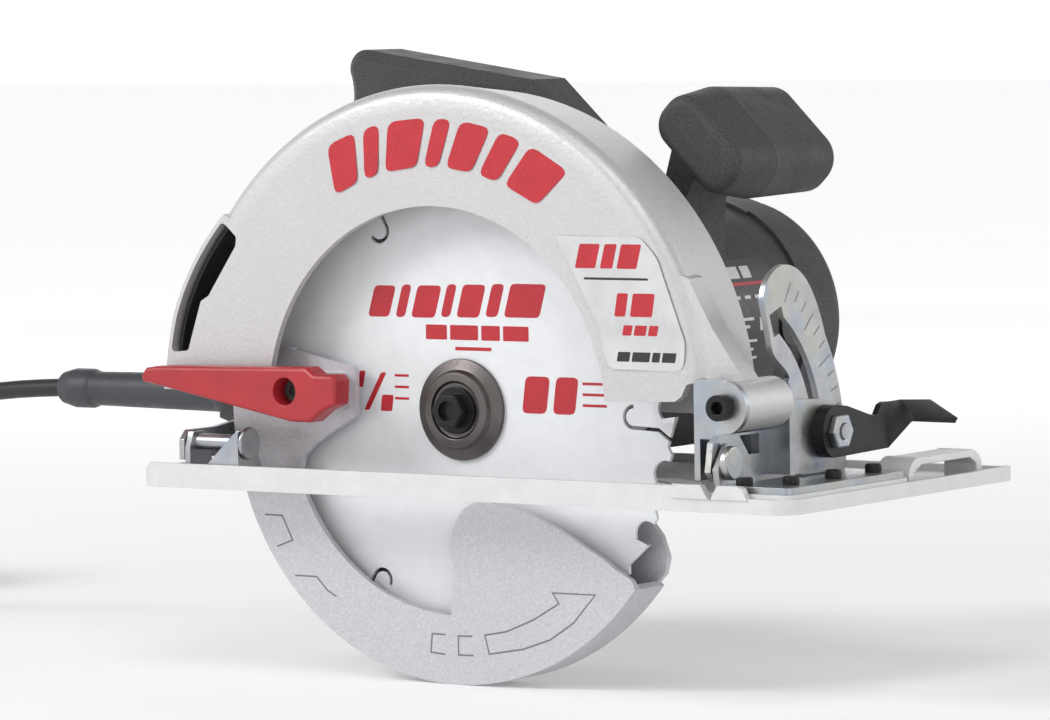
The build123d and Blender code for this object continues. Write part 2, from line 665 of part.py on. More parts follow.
for name, far, near in (("knob_near", KNOB_SEAM, 38.0), ("knob_far", 104.0, KNOB_SEAM)):
    with BuildPart() as knob:
        outward = near - KNOB_SEAM if name == "knob_near" else far - KNOB_SEAM
        with BuildSketch(across(KNOB_SEAM)):
            knob_section(45, 26)
        extrude(amount=-outward, taper=8.0 if name == "knob_near" else 1.5)
        end = knob.faces().sort_by(Axis.Y)[0 if name == "knob_near" else -1]
        fillet(end.edges(), 4.0)
        with BuildSketch(across(min(far, 78.0))):       # neck down to the motor housing
            Polygon((63, 108), (84, 84), (68, 82), (64, 74), (63, 50), (40, 40), (36, 60), (52, 72),
                    (56, 84), align=None)
            with Locations(MOTOR):
                Circle(MOTOR_RADIUS + 0.02, mode=Mode.SUBTRACT)
        extrude(amount=min(far, 78.0) - max(near, PLATE_FAR + 2.0))
    save(knob, name)

# ================================================================ tilt bracket (depth and bevel)
EAR = 2.6
NEAR_EAR_FAR = UPPER_NEAR - 4.3
QUADRANT_FRONT = 132.6                                  # the quadrant's front face ...
BRACKET_FRONT = 133.0                                   # ... and the bracket's plate before it
PLATE = 2.4

with BuildPart() as tilt_bracket:
    for far, radius, back, foot, top in ((NEAR_EAR_FAR, 9.4, 116.5, -5.0, 15.6),
                                         (5.4 + EAR, 7.0, 119.0, -19.5, 11.0)):
        with BuildSketch(across(far)):                  # the two ears of the depth pivot
            with Locations(DEPTH):
                Circle(radius)
            Polygon((back, foot), (back, top), (DEPTH_X, top), (DEPTH_X, DEPTH_Z - radius + 1),
                    (126.9, -2.6), (126.9, foot), align=None)
            with Locations(DEPTH):
                Circle(DEPTH_BOLT_RADIUS, mode=Mode.SUBTRACT)
        extrude(amount=EAR)
    with BuildSketch(facing(116.5)):                    # web behind the barrel
        Polygon((-26.9, -19.5), (-26.9, 15.6), (-21.5, 15.6), (-21.5, 1), (8.0, 1), (8.0, -19.5),
                align=None)
    extrude(amount=PLATE)
    with BuildSketch(facing(124.5)):                    # lower web, with its window
        Polygon((-33, -16), (-31, -6), (-26.9, -3.6), (8, -3.6), (8, -19.5), (-30, -19.5), align=None)
        Polygon((-14, -4.5), (-1, -4.5), (-1, -11.5), (-8, -11.5), align=None, mode=Mode.SUBTRACT)
        with Locations(BEVEL):
            Circle(3.0 + RUNNING, mode=Mode.SUBTRACT)
    extrude(amount=PLATE)
    with BuildSketch(across(5.4 + EAR)):                # return running forward to the front plate
        Polygon((124.5, -19.5), (124.5, 1), (BRACKET_FRONT + PLATE, 2), (BRACKET_FRONT + PLATE, -19.5),
                align=None)
    extrude(amount=EAR)
    with BuildSketch(facing(BRACKET_FRONT)):            # front plate that carries the bevel lever
        with BuildLine():
            Polyline((5.4, -19.5), (5.4, 6.8), (27, 5.8))
            ThreePointArc((27, 5.8), (40, -2), (43, -15))
            Polyline((43, -15), (43, -19.5), (5.4, -19.5))
        make_face()
        with Locations(BEVEL_BOLT):
            Circle(2.7, mode=Mode.SUBTRACT)
    extrude(amount=PLATE)
save(tilt_bracket, "tilt_bracket")

with BuildPart() as depth_bolt:
    with BuildSketch(across(9.0)):
        with Locations(DEPTH):
            Circle(DEPTH_BOLT_RADIUS)
    extrude(amount=9.0 - NEAR_EAR_FAR + EAR)
    with BuildSketch(across(NEAR_EAR_FAR - EAR)):
        with Locations(DEPTH):
            Circle(4.6)
            RegularPolygon(2.5, 6, mode=Mode.SUBTRACT)
    extrude(amount=4.2)
save(depth_bolt, "depth_pivot_bolt")

# depth arm: an arc-shaped slotted strip behind the guard, turning about the depth pivot
ARM_FAR, ARM_SHEET, ARM_HALF = 23.6, 2.6, 9.0
ARM_TOP = ARM_REST - DEPTH_TRAVEL - 3.0
FOOT_X = -107.0

with BuildPart() as depth_arm:
    with BuildSketch(across(ARM_FAR)):
        with BuildLine():
            edges = []
            for radius in (ARM_RADIUS - ARM_HALF, ARM_RADIUS + ARM_HALF):
                foot, middle, end = (polar(radius, a, DEPTH) for a in (ARM_REST + 5, 170, ARM_TOP))
                edges.append(ThreePointArc(foot, middle, end))
            Line(edges[0] @ 0, edges[1] @ 0)
            Line(edges[0] @ 1, edges[1] @ 1)
        make_face()
    extrude(amount=ARM_SHEET)
    with BuildSketch(across(ARM_FAR)):
        with BuildLine():
            ThreePointArc(polar(ARM_RADIUS, ARM_REST + 0.2, DEPTH), polar(ARM_RADIUS, 170, DEPTH),
                          polar(ARM_RADIUS, ARM_REST - DEPTH_TRAVEL - 0.2, DEPTH))
        trace(line_width=6.6)
    extrude(amount=ARM_SHEET, mode=Mode.SUBTRACT)
    for angle in (ARM_REST + 0.2, ARM_REST - DEPTH_TRAVEL - 0.2):
        with BuildSketch(across(ARM_FAR)):
            with Locations(polar(ARM_RADIUS, angle, DEPTH)):
                Circle(3.3)
        extrude(amount=ARM_SHEET, mode=Mode.SUBTRACT)
    with BuildSketch(facing(FOOT_X)):                   # foot across to the rear bevel pivot
        Polygon((-31.5, -19.5), (-31.5, -12), (-28, -8.6), (-12, -8.6), (10, -6), (21, -4),
                (ARM_FAR, -4), (ARM_FAR, -19.5), align=None)
        with Locations(BEVEL):
            Circle(3.0 + RUNNING, mode=Mode.SUBTRACT)
    extrude(amount=PLATE)
    with BuildSketch(across(ARM_FAR)):
        Polygon((FOOT_X, -19.5), (FOOT_X, -4), (-104, 0), (-90, -4), (-90, -12), (-98, -19.5), align=None)
    extrude(amount=ARM_SHEET)
save(depth_arm, "depth_arm")

save(screw(26.2, 9.0, 3.0, 28.6, 2.4, 5.4, ARM_BOLT), "depth_lever_bolt")
with BuildPart() as depth_lever:
    with BuildSketch(across(26.0)):
        with Locations(ARM_BOLT):
            Circle(8.5)
        Polygon((ARM_BOLT[0] - 8, ARM_BOLT[1]), (ARM_BOLT[0] + 8, ARM_BOLT[1]), (-84, 56), (-92, 58),
                align=None)
        with Locations(ARM_BOLT):
            Circle(3.0 + RUNNING, mode=Mode.SUBTRACT)
    extrude(amount=2.2)
save(depth_lever, "depth_lever")

# ================================================================ bevel clamp on the bracket
LEVER_BACK = BRACKET_FRONT + PLATE + 0.1
LEVER_DISC, LEVER_SHEET = 2.7, 2.2
with BuildPart() as bevel_bolt:
    with BuildSketch(facing(QUADRANT_FRONT - PLATE - 4.0)):
        with Locations(BEVEL_BOLT):
            Rectangle(9, 9)
    extrude(amount=3.7)
    with BuildSketch(facing(QUADRANT_FRONT - PLATE - 1.0)):
        with Locations(BEVEL_BOLT):
            Circle(2.7)
    extrude(amount=15.0)
save(bevel_bolt, "bevel_bolt")

ARM_BACK = LEVER_BACK + LEVER_DISC                     # the lever's arm lies in front of its disc
ARM_MIDDLE = ARM_BACK + LEVER_SHEET / 2
PADDLE_START, PADDLE_TURN, PADDLE_END = 64.0, 72.0, 91.0


def lever_section(upper, lower):
    """The lever's sheet cut across, between the (x, z) middles of its upper and lower edges."""
    run = hypot(upper[0] - lower[0], upper[1] - lower[1])
    dx = (upper[1] - lower[1]) / run * LEVER_SHEET / 2
    dz = (lower[0] - upper[0]) / run * LEVER_SHEET / 2
    Polygon((upper[0] + dx, upper[1] + dz), (lower[0] + dx, lower[1] + dz), (lower[0] - dx, lower[1] - dz),
            (upper[0] - dx, upper[1] - dz), align=None)


with BuildPart() as bevel_lever:
    with BuildSketch(facing(LEVER_BACK)):
        with Locations(BEVEL_BOLT):
            Circle(9.4)
    extrude(amount=LEVER_DISC)
    with BuildSketch(facing(ARM_BACK)):
        with BuildLine():
            ThreePointArc((31, 3.4), (19.7, -4.5), (27, -15.0))
            Polyline((27, -15.0), (PADDLE_START, -14.2), (PADDLE_START, 2.4), (61.5, 2.4), (59, 1.5),
                     (56.5, -1.6), (53.4, -1.9), (36, 2.8), (31, 3.4))
        make_face()
    extrude(amount=LEVER_SHEET)
    for start, end, sections in (           # thumb paddle, its lower edge twisted forwards
            (PADDLE_START, PADDLE_TURN, (((ARM_MIDDLE, 2.4), (ARM_MIDDLE, -14.2)),
                                         ((ARM_MIDDLE + 0.6, 1.8), (ARM_MIDDLE + 7, -4.4)))),
            (PADDLE_TURN, PADDLE_END, (((ARM_MIDDLE + 0.6, 1.8), (ARM_MIDDLE + 7, -4.4)),
                                       ((ARM_MIDDLE + 2.2, 0.4), (ARM_MIDDLE + 13.6, -6.0))))):
        with BuildSketch(across(start)):
            lever_section(*sections[0])
        with BuildSketch(across(end)):
            lever_section(*sections[1])
        loft(ruled=True)
    with BuildSketch(facing(LEVER_BACK)):
        with Locations(BEVEL_BOLT):
            Circle(2.7 + RUNNING)
    extrude(amount=20, mode=Mode.SUBTRACT)
save(bevel_lever, "bevel_lever")

with BuildPart() as bevel_nut:
    with BuildSketch(facing(LEVER_BACK + LEVER_DISC + LEVER_SHEET + 0.1)):
        with Locations(BEVEL_BOLT):
            RegularPolygon(6.6, 6)
            Circle(2.7, mode=Mode.SUBTRACT)
    extrude(amount=3.0)
    chamfer(bevel_nut.faces().sort_by(Axis.X)[-1].edges(), 0.5)
save(bevel_nut, "bevel_nut")

# ================================================================ shoe
SHOE_TOP = SHOE_UNDERSIDE + SHOE_SHEET
PAD_TOP = -23.0                                         # raised pad under the quadrant
SLOT_OUTLINE = ((-104, -14), (104, -14), (104, 12), (92, 20), (84, 30), (72, 46), (58, 56),
                (-58, 56), (-72, 46), (-84, 30), (-92, 20), (-104, 12))
SHOE_LENGTH, SHOE_WIDTH = SHOE_FRONT - SHOE_REAR, SHOE_FAR - SHOE_NEAR
SHOE_CENTRE = ((SHOE_FRONT + SHOE_REAR) / 2, (SHOE_FAR + SHOE_NEAR) / 2)

with BuildPart() as shoe:
    with BuildSketch(level(SHOE_UNDERSIDE)):
        with Locations(SHOE_CENTRE):
            RectangleRounded(SHOE_LENGTH, SHOE_WIDTH, 9)
    extrude(amount=9.0)
    with BuildSketch(level(SHOE_TOP)):                  # turned-up edges
        with Locations(SHOE_CENTRE):
            RectangleRounded(SHOE_LENGTH - 4.4, SHOE_WIDTH - 4.4, 7)
    extrude(amount=9.0, mode=Mode.SUBTRACT)
    with BuildSketch(across(SHOE_FAR + 1)):             # the edge is lower at the front and rear
        Polygon((133, -19), (142, -24.4), (170, -24.4), (170, -19), align=None)
        Polygon((-117, -19), (-122, -23), (-140, -23), (-140, -19), align=None)
    extrude(amount=SHOE_WIDTH + 2, mode=Mode.SUBTRACT)
    with BuildSketch(level(-25.0)):                     # and lower under the motor
        with Locations((SHOE_CENTRE[0], SHOE_FAR)):
            Rectangle(SHOE_LENGTH, 8)
    extrude(amount=9.0, mode=Mode.SUBTRACT)
    with BuildSketch(level(SHOE_UNDERSIDE)):            # raised pad
        with Locations((140, 9)):
            RectangleRounded(36, 82, 4)
    extrude(amount=PAD_TOP - SHOE_UNDERSIDE)
    with BuildSketch(level(SHOE_UNDERSIDE)):
        with Locations((140, 9)):
            RectangleRounded(32, 78, 3)
    extrude(amount=PAD_TOP - SHOE_UNDERSIDE - SHOE_SHEET, mode=Mode.SUBTRACT)
    with BuildSketch(level(SHOE_UNDERSIDE - 1)):        # blade opening
        Polygon(*SLOT_OUTLINE, align=None)
    extrude(amount=20, mode=Mode.SUBTRACT)
    with BuildSketch(across(SHOE_NEAR + 2.2)):          # sighting mark on the near edge
        Polygon((112, -25), (114, -20.9), (116, -20.2), (139, -20.2), (141, -20.9), (143, -25), align=None)
    extrude(amount=3.0)
    with BuildSketch(across(SHOE_NEAR + 3)):
        Polygon((124, -20), (131, -20), (127.5, -26), align=None)
    extrude(amount=6, mode=Mode.SUBTRACT)
save(shoe, "shoe")

with BuildPart() as fence_bridge:                       # rip-fence guide, welded on the sheet
    with BuildSketch(facing(142.0)):
        with BuildLine():
            Polyline((52, SHOE_TOP), (52, -23))
            ThreePointArc((52, -23), (54.5, -18.6), (62, -17))
            Line((62, -17), (94, -17))
            ThreePointArc((94, -17), (101.5, -18.6), (104, -23))
            Polyline((104, -23), (104, SHOE_TOP), (52, SHOE_TOP))
        make_face()
        Polygon((56, SHOE_TOP), (56, -22), (61, -19.6), (95, -19.6), (100, -22), (100, SHOE_TOP),
                align=None, mode=Mode.SUBTRACT)
    extrude(amount=14.0)
save(fence_bridge, "fence_bridge")

with BuildPart() as bevel_ear:                          # front ear of the bevel pivot, on the pad
    with BuildSketch(facing(127.5)):
        Polygon((-31, PAD_TOP), (-32.8, -15), (-26, -6.2), (-19.5, -10), (-5, PAD_TOP), align=None)
        with Locations(BEVEL):
            Circle(3.0, mode=Mode.SUBTRACT)
    extrude(amount=PLATE)
save(bevel_ear, "bevel_ear_front")

QUADRANT_INNER, QUADRANT_OUTER = 43.6, 73.0
FLANGE_TOP = PAD_TOP + PLATE
with BuildPart() as bevel_quadrant:
    with BuildSketch(facing(QUADRANT_FRONT - PLATE)):
        with BuildLine():
            outer = ThreePointArc(polar(QUADRANT_OUTER, -6.3, BEVEL), polar(QUADRANT_OUTER, 12, BEVEL),
                                  polar(QUADRANT_OUTER, 34, BEVEL))
            Spline(outer @ 1, (27.8, 41.5), (17, 51.8), (6, 53.8), (-1.5, 50.5), (-6, 42))
            Line((-6, 42), (-1.8, 28))
            Spline((-1.8, 28), (0.4, 22.6), (5.6, 18.6), (10.4, 14.0))
            inner = ThreePointArc(polar(QUADRANT_INNER, 36, BEVEL), polar(QUADRANT_INNER, 12, BEVEL),
                                  polar(QUADRANT_INNER, -10.9, BEVEL))
            Line((10.4, 14.0), inner @ 0)
            Line(inner @ 1, outer @ 0)
        make_face()
        with BuildLine():
            ThreePointArc(*(polar(BEVEL_SLOT_RADIUS, angle, BEVEL)
                            for angle in (BEVEL_REST - 1, 30, BEVEL_REST + BEVEL_TRAVEL + 1)))
        trace(line_width=6.4, mode=Mode.SUBTRACT)
        with Locations(polar(BEVEL_SLOT_RADIUS, BEVEL_REST - 1, BEVEL)):
            Circle(3.2, mode=Mode.SUBTRACT)
        with Locations(Location((*polar(BEVEL_SLOT_RADIUS, 58.5, BEVEL), 0), (0, 0, 20))):
            Rectangle(8.4, 8.4, mode=Mode.SUBTRACT)
    extrude(amount=PLATE)
    with BuildSketch(level(PAD_TOP)):                   # flange riveted to the pad
        with Locations((143.9, 9)):
            RectangleRounded(27, 78, 3)
    extrude(amount=PLATE)
save(bevel_quadrant, "bevel_quadrant")

with BuildPart() as quadrant_rivets:
    with BuildSketch(level(FLANGE_TOP)):
        with Locations((137, -27), (149, -16), (149, 12), (149, 39)):
            Circle(3.0)
    extrude(amount=3.0)
    chamfer(quadrant_rivets.faces().group_by(Axis.Z)[-1].edges(), 0.6)
save(quadrant_rivets, "quadrant_rivets")

BRACKET_REAR, BRACKET_UPRIGHT = FOOT_X + PLATE + 0.4, -82.0
BRACKET_NEAR = -31.6
with BuildPart() as rear_bracket:                       # a pressed bracket with two uprights
    for x, top in ((BRACKET_REAR, -9.2), (BRACKET_UPRIGHT, -8.4)):
        with BuildSketch(facing(x)):
            Polygon((BRACKET_NEAR, SHOE_TOP), (BRACKET_NEAR, -15), (-29.4, top), (-22, top),
                    (-16, SHOE_TOP), align=None)
            with Locations(BEVEL):
                Circle(3.0, mode=Mode.SUBTRACT)
        extrude(amount=PLATE)
    with BuildSketch(level(SHOE_TOP)):
        Polygon((BRACKET_REAR, BRACKET_NEAR), (BRACKET_UPRIGHT + PLATE, BRACKET_NEAR),
                (BRACKET_UPRIGHT + PLATE, -16), (BRACKET_REAR, -16), align=None)
    extrude(amount=PLATE)
    with BuildSketch(across(BRACKET_NEAR + 2.0)):       # near wall, rising to the front upright
        Polygon((-96, SHOE_TOP), (-94.4, -21.2), (-81.5, -9.2), (BRACKET_UPRIGHT + PLATE, -8.4),
                (BRACKET_UPRIGHT + PLATE, SHOE_TOP), align=None)
    extrude(amount=2.0)
save(rear_bracket, "bevel_bracket_rear")

for name, start, length, head_start, head_depth in (
        ("bevel_rivet_front", 123.6, 7.0, 130.0, 2.8),
        ("bevel_rivet_rear", FOOT_X - 1.0, 28.0, -79.4, 1.6)):
    with BuildPart() as rivet:
        with BuildSketch(facing(start)):
            with Locations(BEVEL):
                Circle(3.0)
        extrude(amount=length)
        with BuildSketch(facing(head_start)):
            with Locations(BEVEL):
                Circle(6.0)
        extrude(amount=head_depth)
        chamfer(rivet.faces().sort_by(Axis.X)[-1].edges(), 0.5)
    save(rivet, name)

# ================================================================ power cord
SLEEVE_END = -223.0
CORD_Z = -1.0
COIL_RADIUS = 41.0              # 11.5 cord diameters across, at the middle of a turn
COIL_TURNS = 7.875              # from the near side round to 45 degrees short of it
COIL_X, COIL_Y = -440.0, 118.0
FLOOR_LINE = FLOOR + CORD_RADIUS
COIL_TOP = FLOOR_LINE + COIL_TURNS * 2 * CORD_RADIUS
COIL_EXIT = (*polar(COIL_RADIUS, -45, (COIL_X, COIL_Y)), COIL_TOP)
PLUG_X, PLUG_Y, PLUG_Z = -526.0, 36.5, FLOOR + 12.0

with BuildPart() as strain_relief:
    with BuildSketch(Plane(origin=(0, CORD_Y, CORD_Z))):
        with BuildLine():
            Polyline((-117, 0), (-117, 6.0), (-138.6, 6.0), (-138.6, 8.4), (-143, 8.4), (-146, 7.4),
                     (-206, 6.6), (-209, 7.7), (-217, 7.7), (SLEEVE_END, 6.2), (SLEEVE_END, 0), (-117, 0))
        make_face()
    revolve(axis=Axis((0, CORD_Y, CORD_Z), (1, 0, 0)))
save(strain_relief, "strain_relief")

LEAD_POINTS = (
    (SLEEVE_END, CORD_Y, CORD_Z), (-262, 45.3, -2.5), (-296, 48, -12), (-325, 53, -31), (-350, 59.5, -55),
    (-376, 67, -77), (-406, 73.5, -92), (COIL_X, COIL_Y - COIL_RADIUS, FLOOR_LINE))
TAIL_POINTS = (
    COIL_EXIT, (-427, 73, -42.5), (-444, 59, -52), (-462.5, 48.5, -65), (-482.5, 41.5, -77.5),
    (-504, 37.8, -85.2), (PLUG_X, PLUG_Y, PLUG_Z))


def corner_radii(points):
    """The largest even bend for each corner of a route."""
    corners = [Vector(*point) for point in points]
    radii = []
    for before, corner, after in zip(corners, corners[1:], corners[2:]):
        turn = radians((corner - before).get_angle(after - corner))
        shorter = min((corner - before).length, (after - corner).length)
        radii.append(0.45 * shorter / tan(turn / 2))
    return radii


def cord_tube(points):
    """A round tube along a route of straight runs joined by tangent arcs."""
    radii = corner_radii(points)
    with BuildPart() as tube:
        with BuildLine() as route:
            FilletPolyline(*points, radius=radii)
        path = route.wires()[0]
        with BuildSketch(Plane(origin=points[0], z_dir=path % 0)):
            Circle(CORD_RADIUS)
        sweep(path=path)
    length = path.length
    print("cord radii", [round(radius) for radius in radii], "length", round(length, 1),
          "volume against section times length",
          round(tube.part.volume / (pi * CORD_RADIUS**2 * length), 4))
    return tube, length


lead, lead_length = cord_tube(LEAD_POINTS)
tail, tail_length = cord_tube(TAIL_POINTS)
save(lead, "power_cord")
save(tail, "power_cord_end")
turns_length = COIL_TURNS * hypot(2 * pi * COIL_RADIUS, 2 * CORD_RADIUS)
print("cord length from the sleeve to the plug", round(lead_length + tail_length + turns_length))

with BuildPart() as cord_coil:
    with BuildSketch(level(FLOOR)):
        with Locations((COIL_X, COIL_Y)):
            Circle(COIL_RADIUS + CORD_RADIUS)
            Circle(COIL_RADIUS - CORD_RADIUS, mode=Mode.SUBTRACT)
    extrude(amount=COIL_TOP + CORD_RADIUS - FLOOR)
save(cord_coil, "cord_coil")

with BuildPart() as plug:
    with BuildSketch(Plane(origin=(0, PLUG_Y, PLUG_Z))):
        with BuildLine():
            Polyline(*((PLUG_X - back, radius) for back, radius in (
                (0, 0), (0, 4.6), (12, 5.4), (16, 9.0), (26, 12.0), (40, 12.0), (42, 11.0), (42, 0), (0, 0))))
        make_face()
    revolve(axis=Axis((0, PLUG_Y, PLUG_Z), (1, 0, 0)))
save(plug, "plug")

with BuildPart() as plug_blades:
    with BuildSketch(facing(PLUG_X - 42)):
        with Locations((PLUG_Y - 6.35, PLUG_Z), (PLUG_Y + 6.35, PLUG_Z)):
            Rectangle(1.5, 6.4)
    extrude(amount=-17)
save(plug_blades, "plug_blades")
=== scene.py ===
"""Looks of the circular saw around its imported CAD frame: pieces, materials, camera and lights."""
import json
import math

import bmesh
import bpy
from mathutils import Matrix, Vector


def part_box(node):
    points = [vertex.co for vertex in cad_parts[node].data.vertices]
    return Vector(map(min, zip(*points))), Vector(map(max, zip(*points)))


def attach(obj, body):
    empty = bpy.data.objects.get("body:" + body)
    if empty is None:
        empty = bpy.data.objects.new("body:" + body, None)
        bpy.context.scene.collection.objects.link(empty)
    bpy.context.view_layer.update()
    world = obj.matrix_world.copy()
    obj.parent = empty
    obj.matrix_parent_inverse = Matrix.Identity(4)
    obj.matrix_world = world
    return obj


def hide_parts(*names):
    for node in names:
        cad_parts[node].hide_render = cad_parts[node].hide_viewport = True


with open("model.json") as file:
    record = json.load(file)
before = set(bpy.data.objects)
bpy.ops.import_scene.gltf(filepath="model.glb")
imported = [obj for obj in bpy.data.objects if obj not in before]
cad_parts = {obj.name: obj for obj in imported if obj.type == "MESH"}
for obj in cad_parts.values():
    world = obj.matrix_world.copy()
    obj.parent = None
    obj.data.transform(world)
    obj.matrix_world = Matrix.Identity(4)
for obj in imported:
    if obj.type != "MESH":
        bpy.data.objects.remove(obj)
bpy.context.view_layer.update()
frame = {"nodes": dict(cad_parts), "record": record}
NODES = frame["nodes"]
BODY_OF = {n: b for b, names in frame["record"]["behaviour"]["bodies"].items() for n in names}
SLOT_OF = {s["node"]: s["material_slot"] for s in frame["record"]["subparts"]}
MM = 0.001
WELD = 2e-6                                         # vertices closer than this are one, in metres

# ------------------------------------------------------------------ places
# Lengths below are in millimetres from the blade's centre: +X the cut, +Y to the motor, +Z up.
low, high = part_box("blade")
BLADE_CENTRE = (low + high) / 2


def at(x, y, z):
    """A point given in mm from the blade's centre, in the row frame."""
    return BLADE_CENTRE + Vector((x, y, z)) * MM


def polar(radius, angle, centre=(0.0, 0.0)):
    """The (x, z) point at an angle in degrees from +X towards +Z."""
    turn = math.radians(angle)
    return (centre[0] + radius * math.cos(turn), centre[1] + radius * math.sin(turn))


# ------------------------------------------------------------------ camera
AZIMUTH, ELEVATION, ROLL = 34.69, 3.74, -0.92       # degrees
DISTANCE = 2.0                                      # metres, from the camera to what it looks at
AIM_RIGHT, AIM_UP = 22.27, 17.51                    # where that is from the blade's centre, mm in the view
SENSOR, LENS = 36.0, 189.06                         # mm
CLIP = (0.1, 30.0)                                  # metres

azimuth, elevation, roll = (math.radians(a) for a in (AZIMUTH, ELEVATION, ROLL))
level = Vector((math.sin(azimuth), -math.cos(azimuth), 0.0))
back = level * math.cos(elevation) + Vector((0.0, 0.0, math.sin(elevation)))
right = Vector((math.cos(azimuth), math.sin(azimuth), 0.0))
up = back.cross(right)
aim = BLADE_CENTRE + (right * AIM_RIGHT + up * AIM_UP) * MM
side = right * math.cos(roll) + up * math.sin(roll)
top = up * math.cos(roll) - right * math.sin(roll)

camera = bpy.data.objects.new("camera", bpy.data.cameras.new("camera"))
bpy.context.scene.collection.objects.link(camera)
camera.data.sensor_width = SENSOR
camera.data.lens = LENS
camera.data.clip_start, camera.data.clip_end = CLIP
view_turn = Matrix((side, top, back)).transposed().to_4x4()
camera.matrix_world = Matrix.Translation(aim + back * DISTANCE) @ view_turn
bpy.context.scene.camera = camera


# ------------------------------------------------------------------ material nodes
def set_span(node, from_low, from_high, to_low, to_high):
    """Sets the two ranges of a Map Range node."""
    node.inputs["From Min"].default_value = from_low
    node.inputs["From Max"].default_value = from_high
    node.inputs["To Min"].default_value = to_low
    node.inputs["To Max"].default_value = to_high


class Tree:
    """A node tree under construction, with short calls for the nodes used here."""

    def __init__(self, name):
        self.material = bpy.data.materials.new(name)
        self.material.use_nodes = True
        self.tree = self.material.node_tree
        self.shader = self.tree.nodes["Principled BSDF"]
        self.place = self.add("ShaderNodeTexCoord").outputs["Object"]

    def add(self, kind, **settings):
        """A new node of a kind, with its settings."""
        node = self.tree.nodes.new(kind)
        for key, value in settings.items():
            setattr(node, key, value)
        return node

    def put(self, socket, value):
        """Links a socket to another's output, or sets it to a number or colour."""
        if isinstance(value, bpy.types.NodeSocket):
            self.tree.links.new(value, socket)
        elif hasattr(value, "__len__") and len(value) == 3 and len(socket.default_value) == 4:
            socket.default_value = (*value, 1.0)
        else:
            socket.default_value = value

    def set(self, **values):
        """Puts values on the shader's sockets, named with _ for each space."""
        for key, value in values.items():
            self.put(self.shader.inputs[key.replace("_", " ")], value)

    def noise(self, size, detail=3.0, rough=0.5, stretch=None):
        """Noise from 0 to 1 whose features are about `size` mm, or longer along a stretched axis."""
        node = self.add("ShaderNodeTexNoise")
        where = self.place
        if stretch:
            mapping = self.add("ShaderNodeMapping")
            self.put(mapping.inputs["Vector"], where)
            mapping.inputs["Scale"].default_value = stretch
            where = mapping.outputs[0]
        self.put(node.inputs["Vector"], where)
        node.inputs["Scale"].default_value = 1.0 / (size * MM)
        node.inputs["Detail"].default_value = detail
        node.inputs["Roughness"].default_value = rough
        return node.outputs["Fac"]

    def cells(self, size):
        """A random colour for each of the Voronoi cells about `size` mm across."""
        node = self.add("ShaderNodeTexVoronoi")
        self.put(node.inputs["Vector"], self.place)
        node.inputs["Scale"].default_value = 1.0 / (size * MM)
        return node.outputs["Color"]

    def span(self, value, from_low, from_high, to_low=0.0, to_high=1.0):
        """The value moved from one range to another, and held inside it."""
        node = self.add("ShaderNodeMapRange")
        self.put(node.inputs["Value"], value)
        set_span(node, from_low, from_high, to_low, to_high)
        return node.outputs["Result"]

    def mix(self, amount, first, second):
        """A blend of two colours: the second's share is the amount."""
        node = self.add("ShaderNodeMix", data_type="RGBA")
        self.put(node.inputs["Factor"], amount)
        self.put(node.inputs[6], first)
        self.put(node.inputs[7], second)
        return node.outputs[2]

    def math(self, operation, first, second):
        """The result of one arithmetic operation."""
        node = self.add("ShaderNodeMath", operation=operation)
        self.put(node.inputs[0], first)
        self.put(node.inputs[1], second)
        return node.outputs[0]

    def bump(self, height, distance, normal=None):
        """A bump `distance` mm deep, over another bump if one is given."""
        node = self.add("ShaderNodeBump")
        self.put(node.inputs["Height"], height)
        node.inputs["Distance"].default_value = distance * MM
        node.inputs["Strength"].default_value = 1.0
        if normal:
            self.put(node.inputs["Normal"], normal)
        return node.outputs["Normal"]


FLAKE_SIZE = 0.5                                    # mm, of the metal in silver enamel
SCRATCH = 0.35                                      # how much scratches show in a steel's polish


def scaled(tint, factor):
    """A colour made darker or lighter."""
    return [min(1.0, channel * factor) for channel in tint]


def cast_metal(name, tint, contrast=0.06, rough=0.44):
    """Silver enamel on a casting: metal flakes, a soft mottle and a faint orange peel."""
    t = Tree(name)
    flakes = t.add("ShaderNodeSeparateColor")
    t.put(flakes.inputs[0], t.cells(FLAKE_SIZE))
    depth, polish, tilt = flakes.outputs
    colour = t.mix(depth, scaled(tint, 1 - contrast), scaled(tint, 1 + contrast))
    mottle = t.span(t.noise(2.4, rough=0.6), 0.3, 0.7, to_high=0.16)
    colour = t.mix(mottle, colour, scaled(tint, 0.84))
    cloud = t.span(t.noise(45), 0.35, 0.7, to_high=0.22)
    colour = t.mix(cloud, colour, scaled(tint, 0.90))
    t.set(Base_Color=colour, Metallic=0.5)
    t.set(Roughness=t.span(polish, 0.0, 1.0, rough - 0.08, rough + 0.08))
    peel = t.bump(t.noise(1.7, rough=0.6), 0.16)
    t.set(Normal=t.bump(tilt, 0.012, normal=peel))
    return t.material


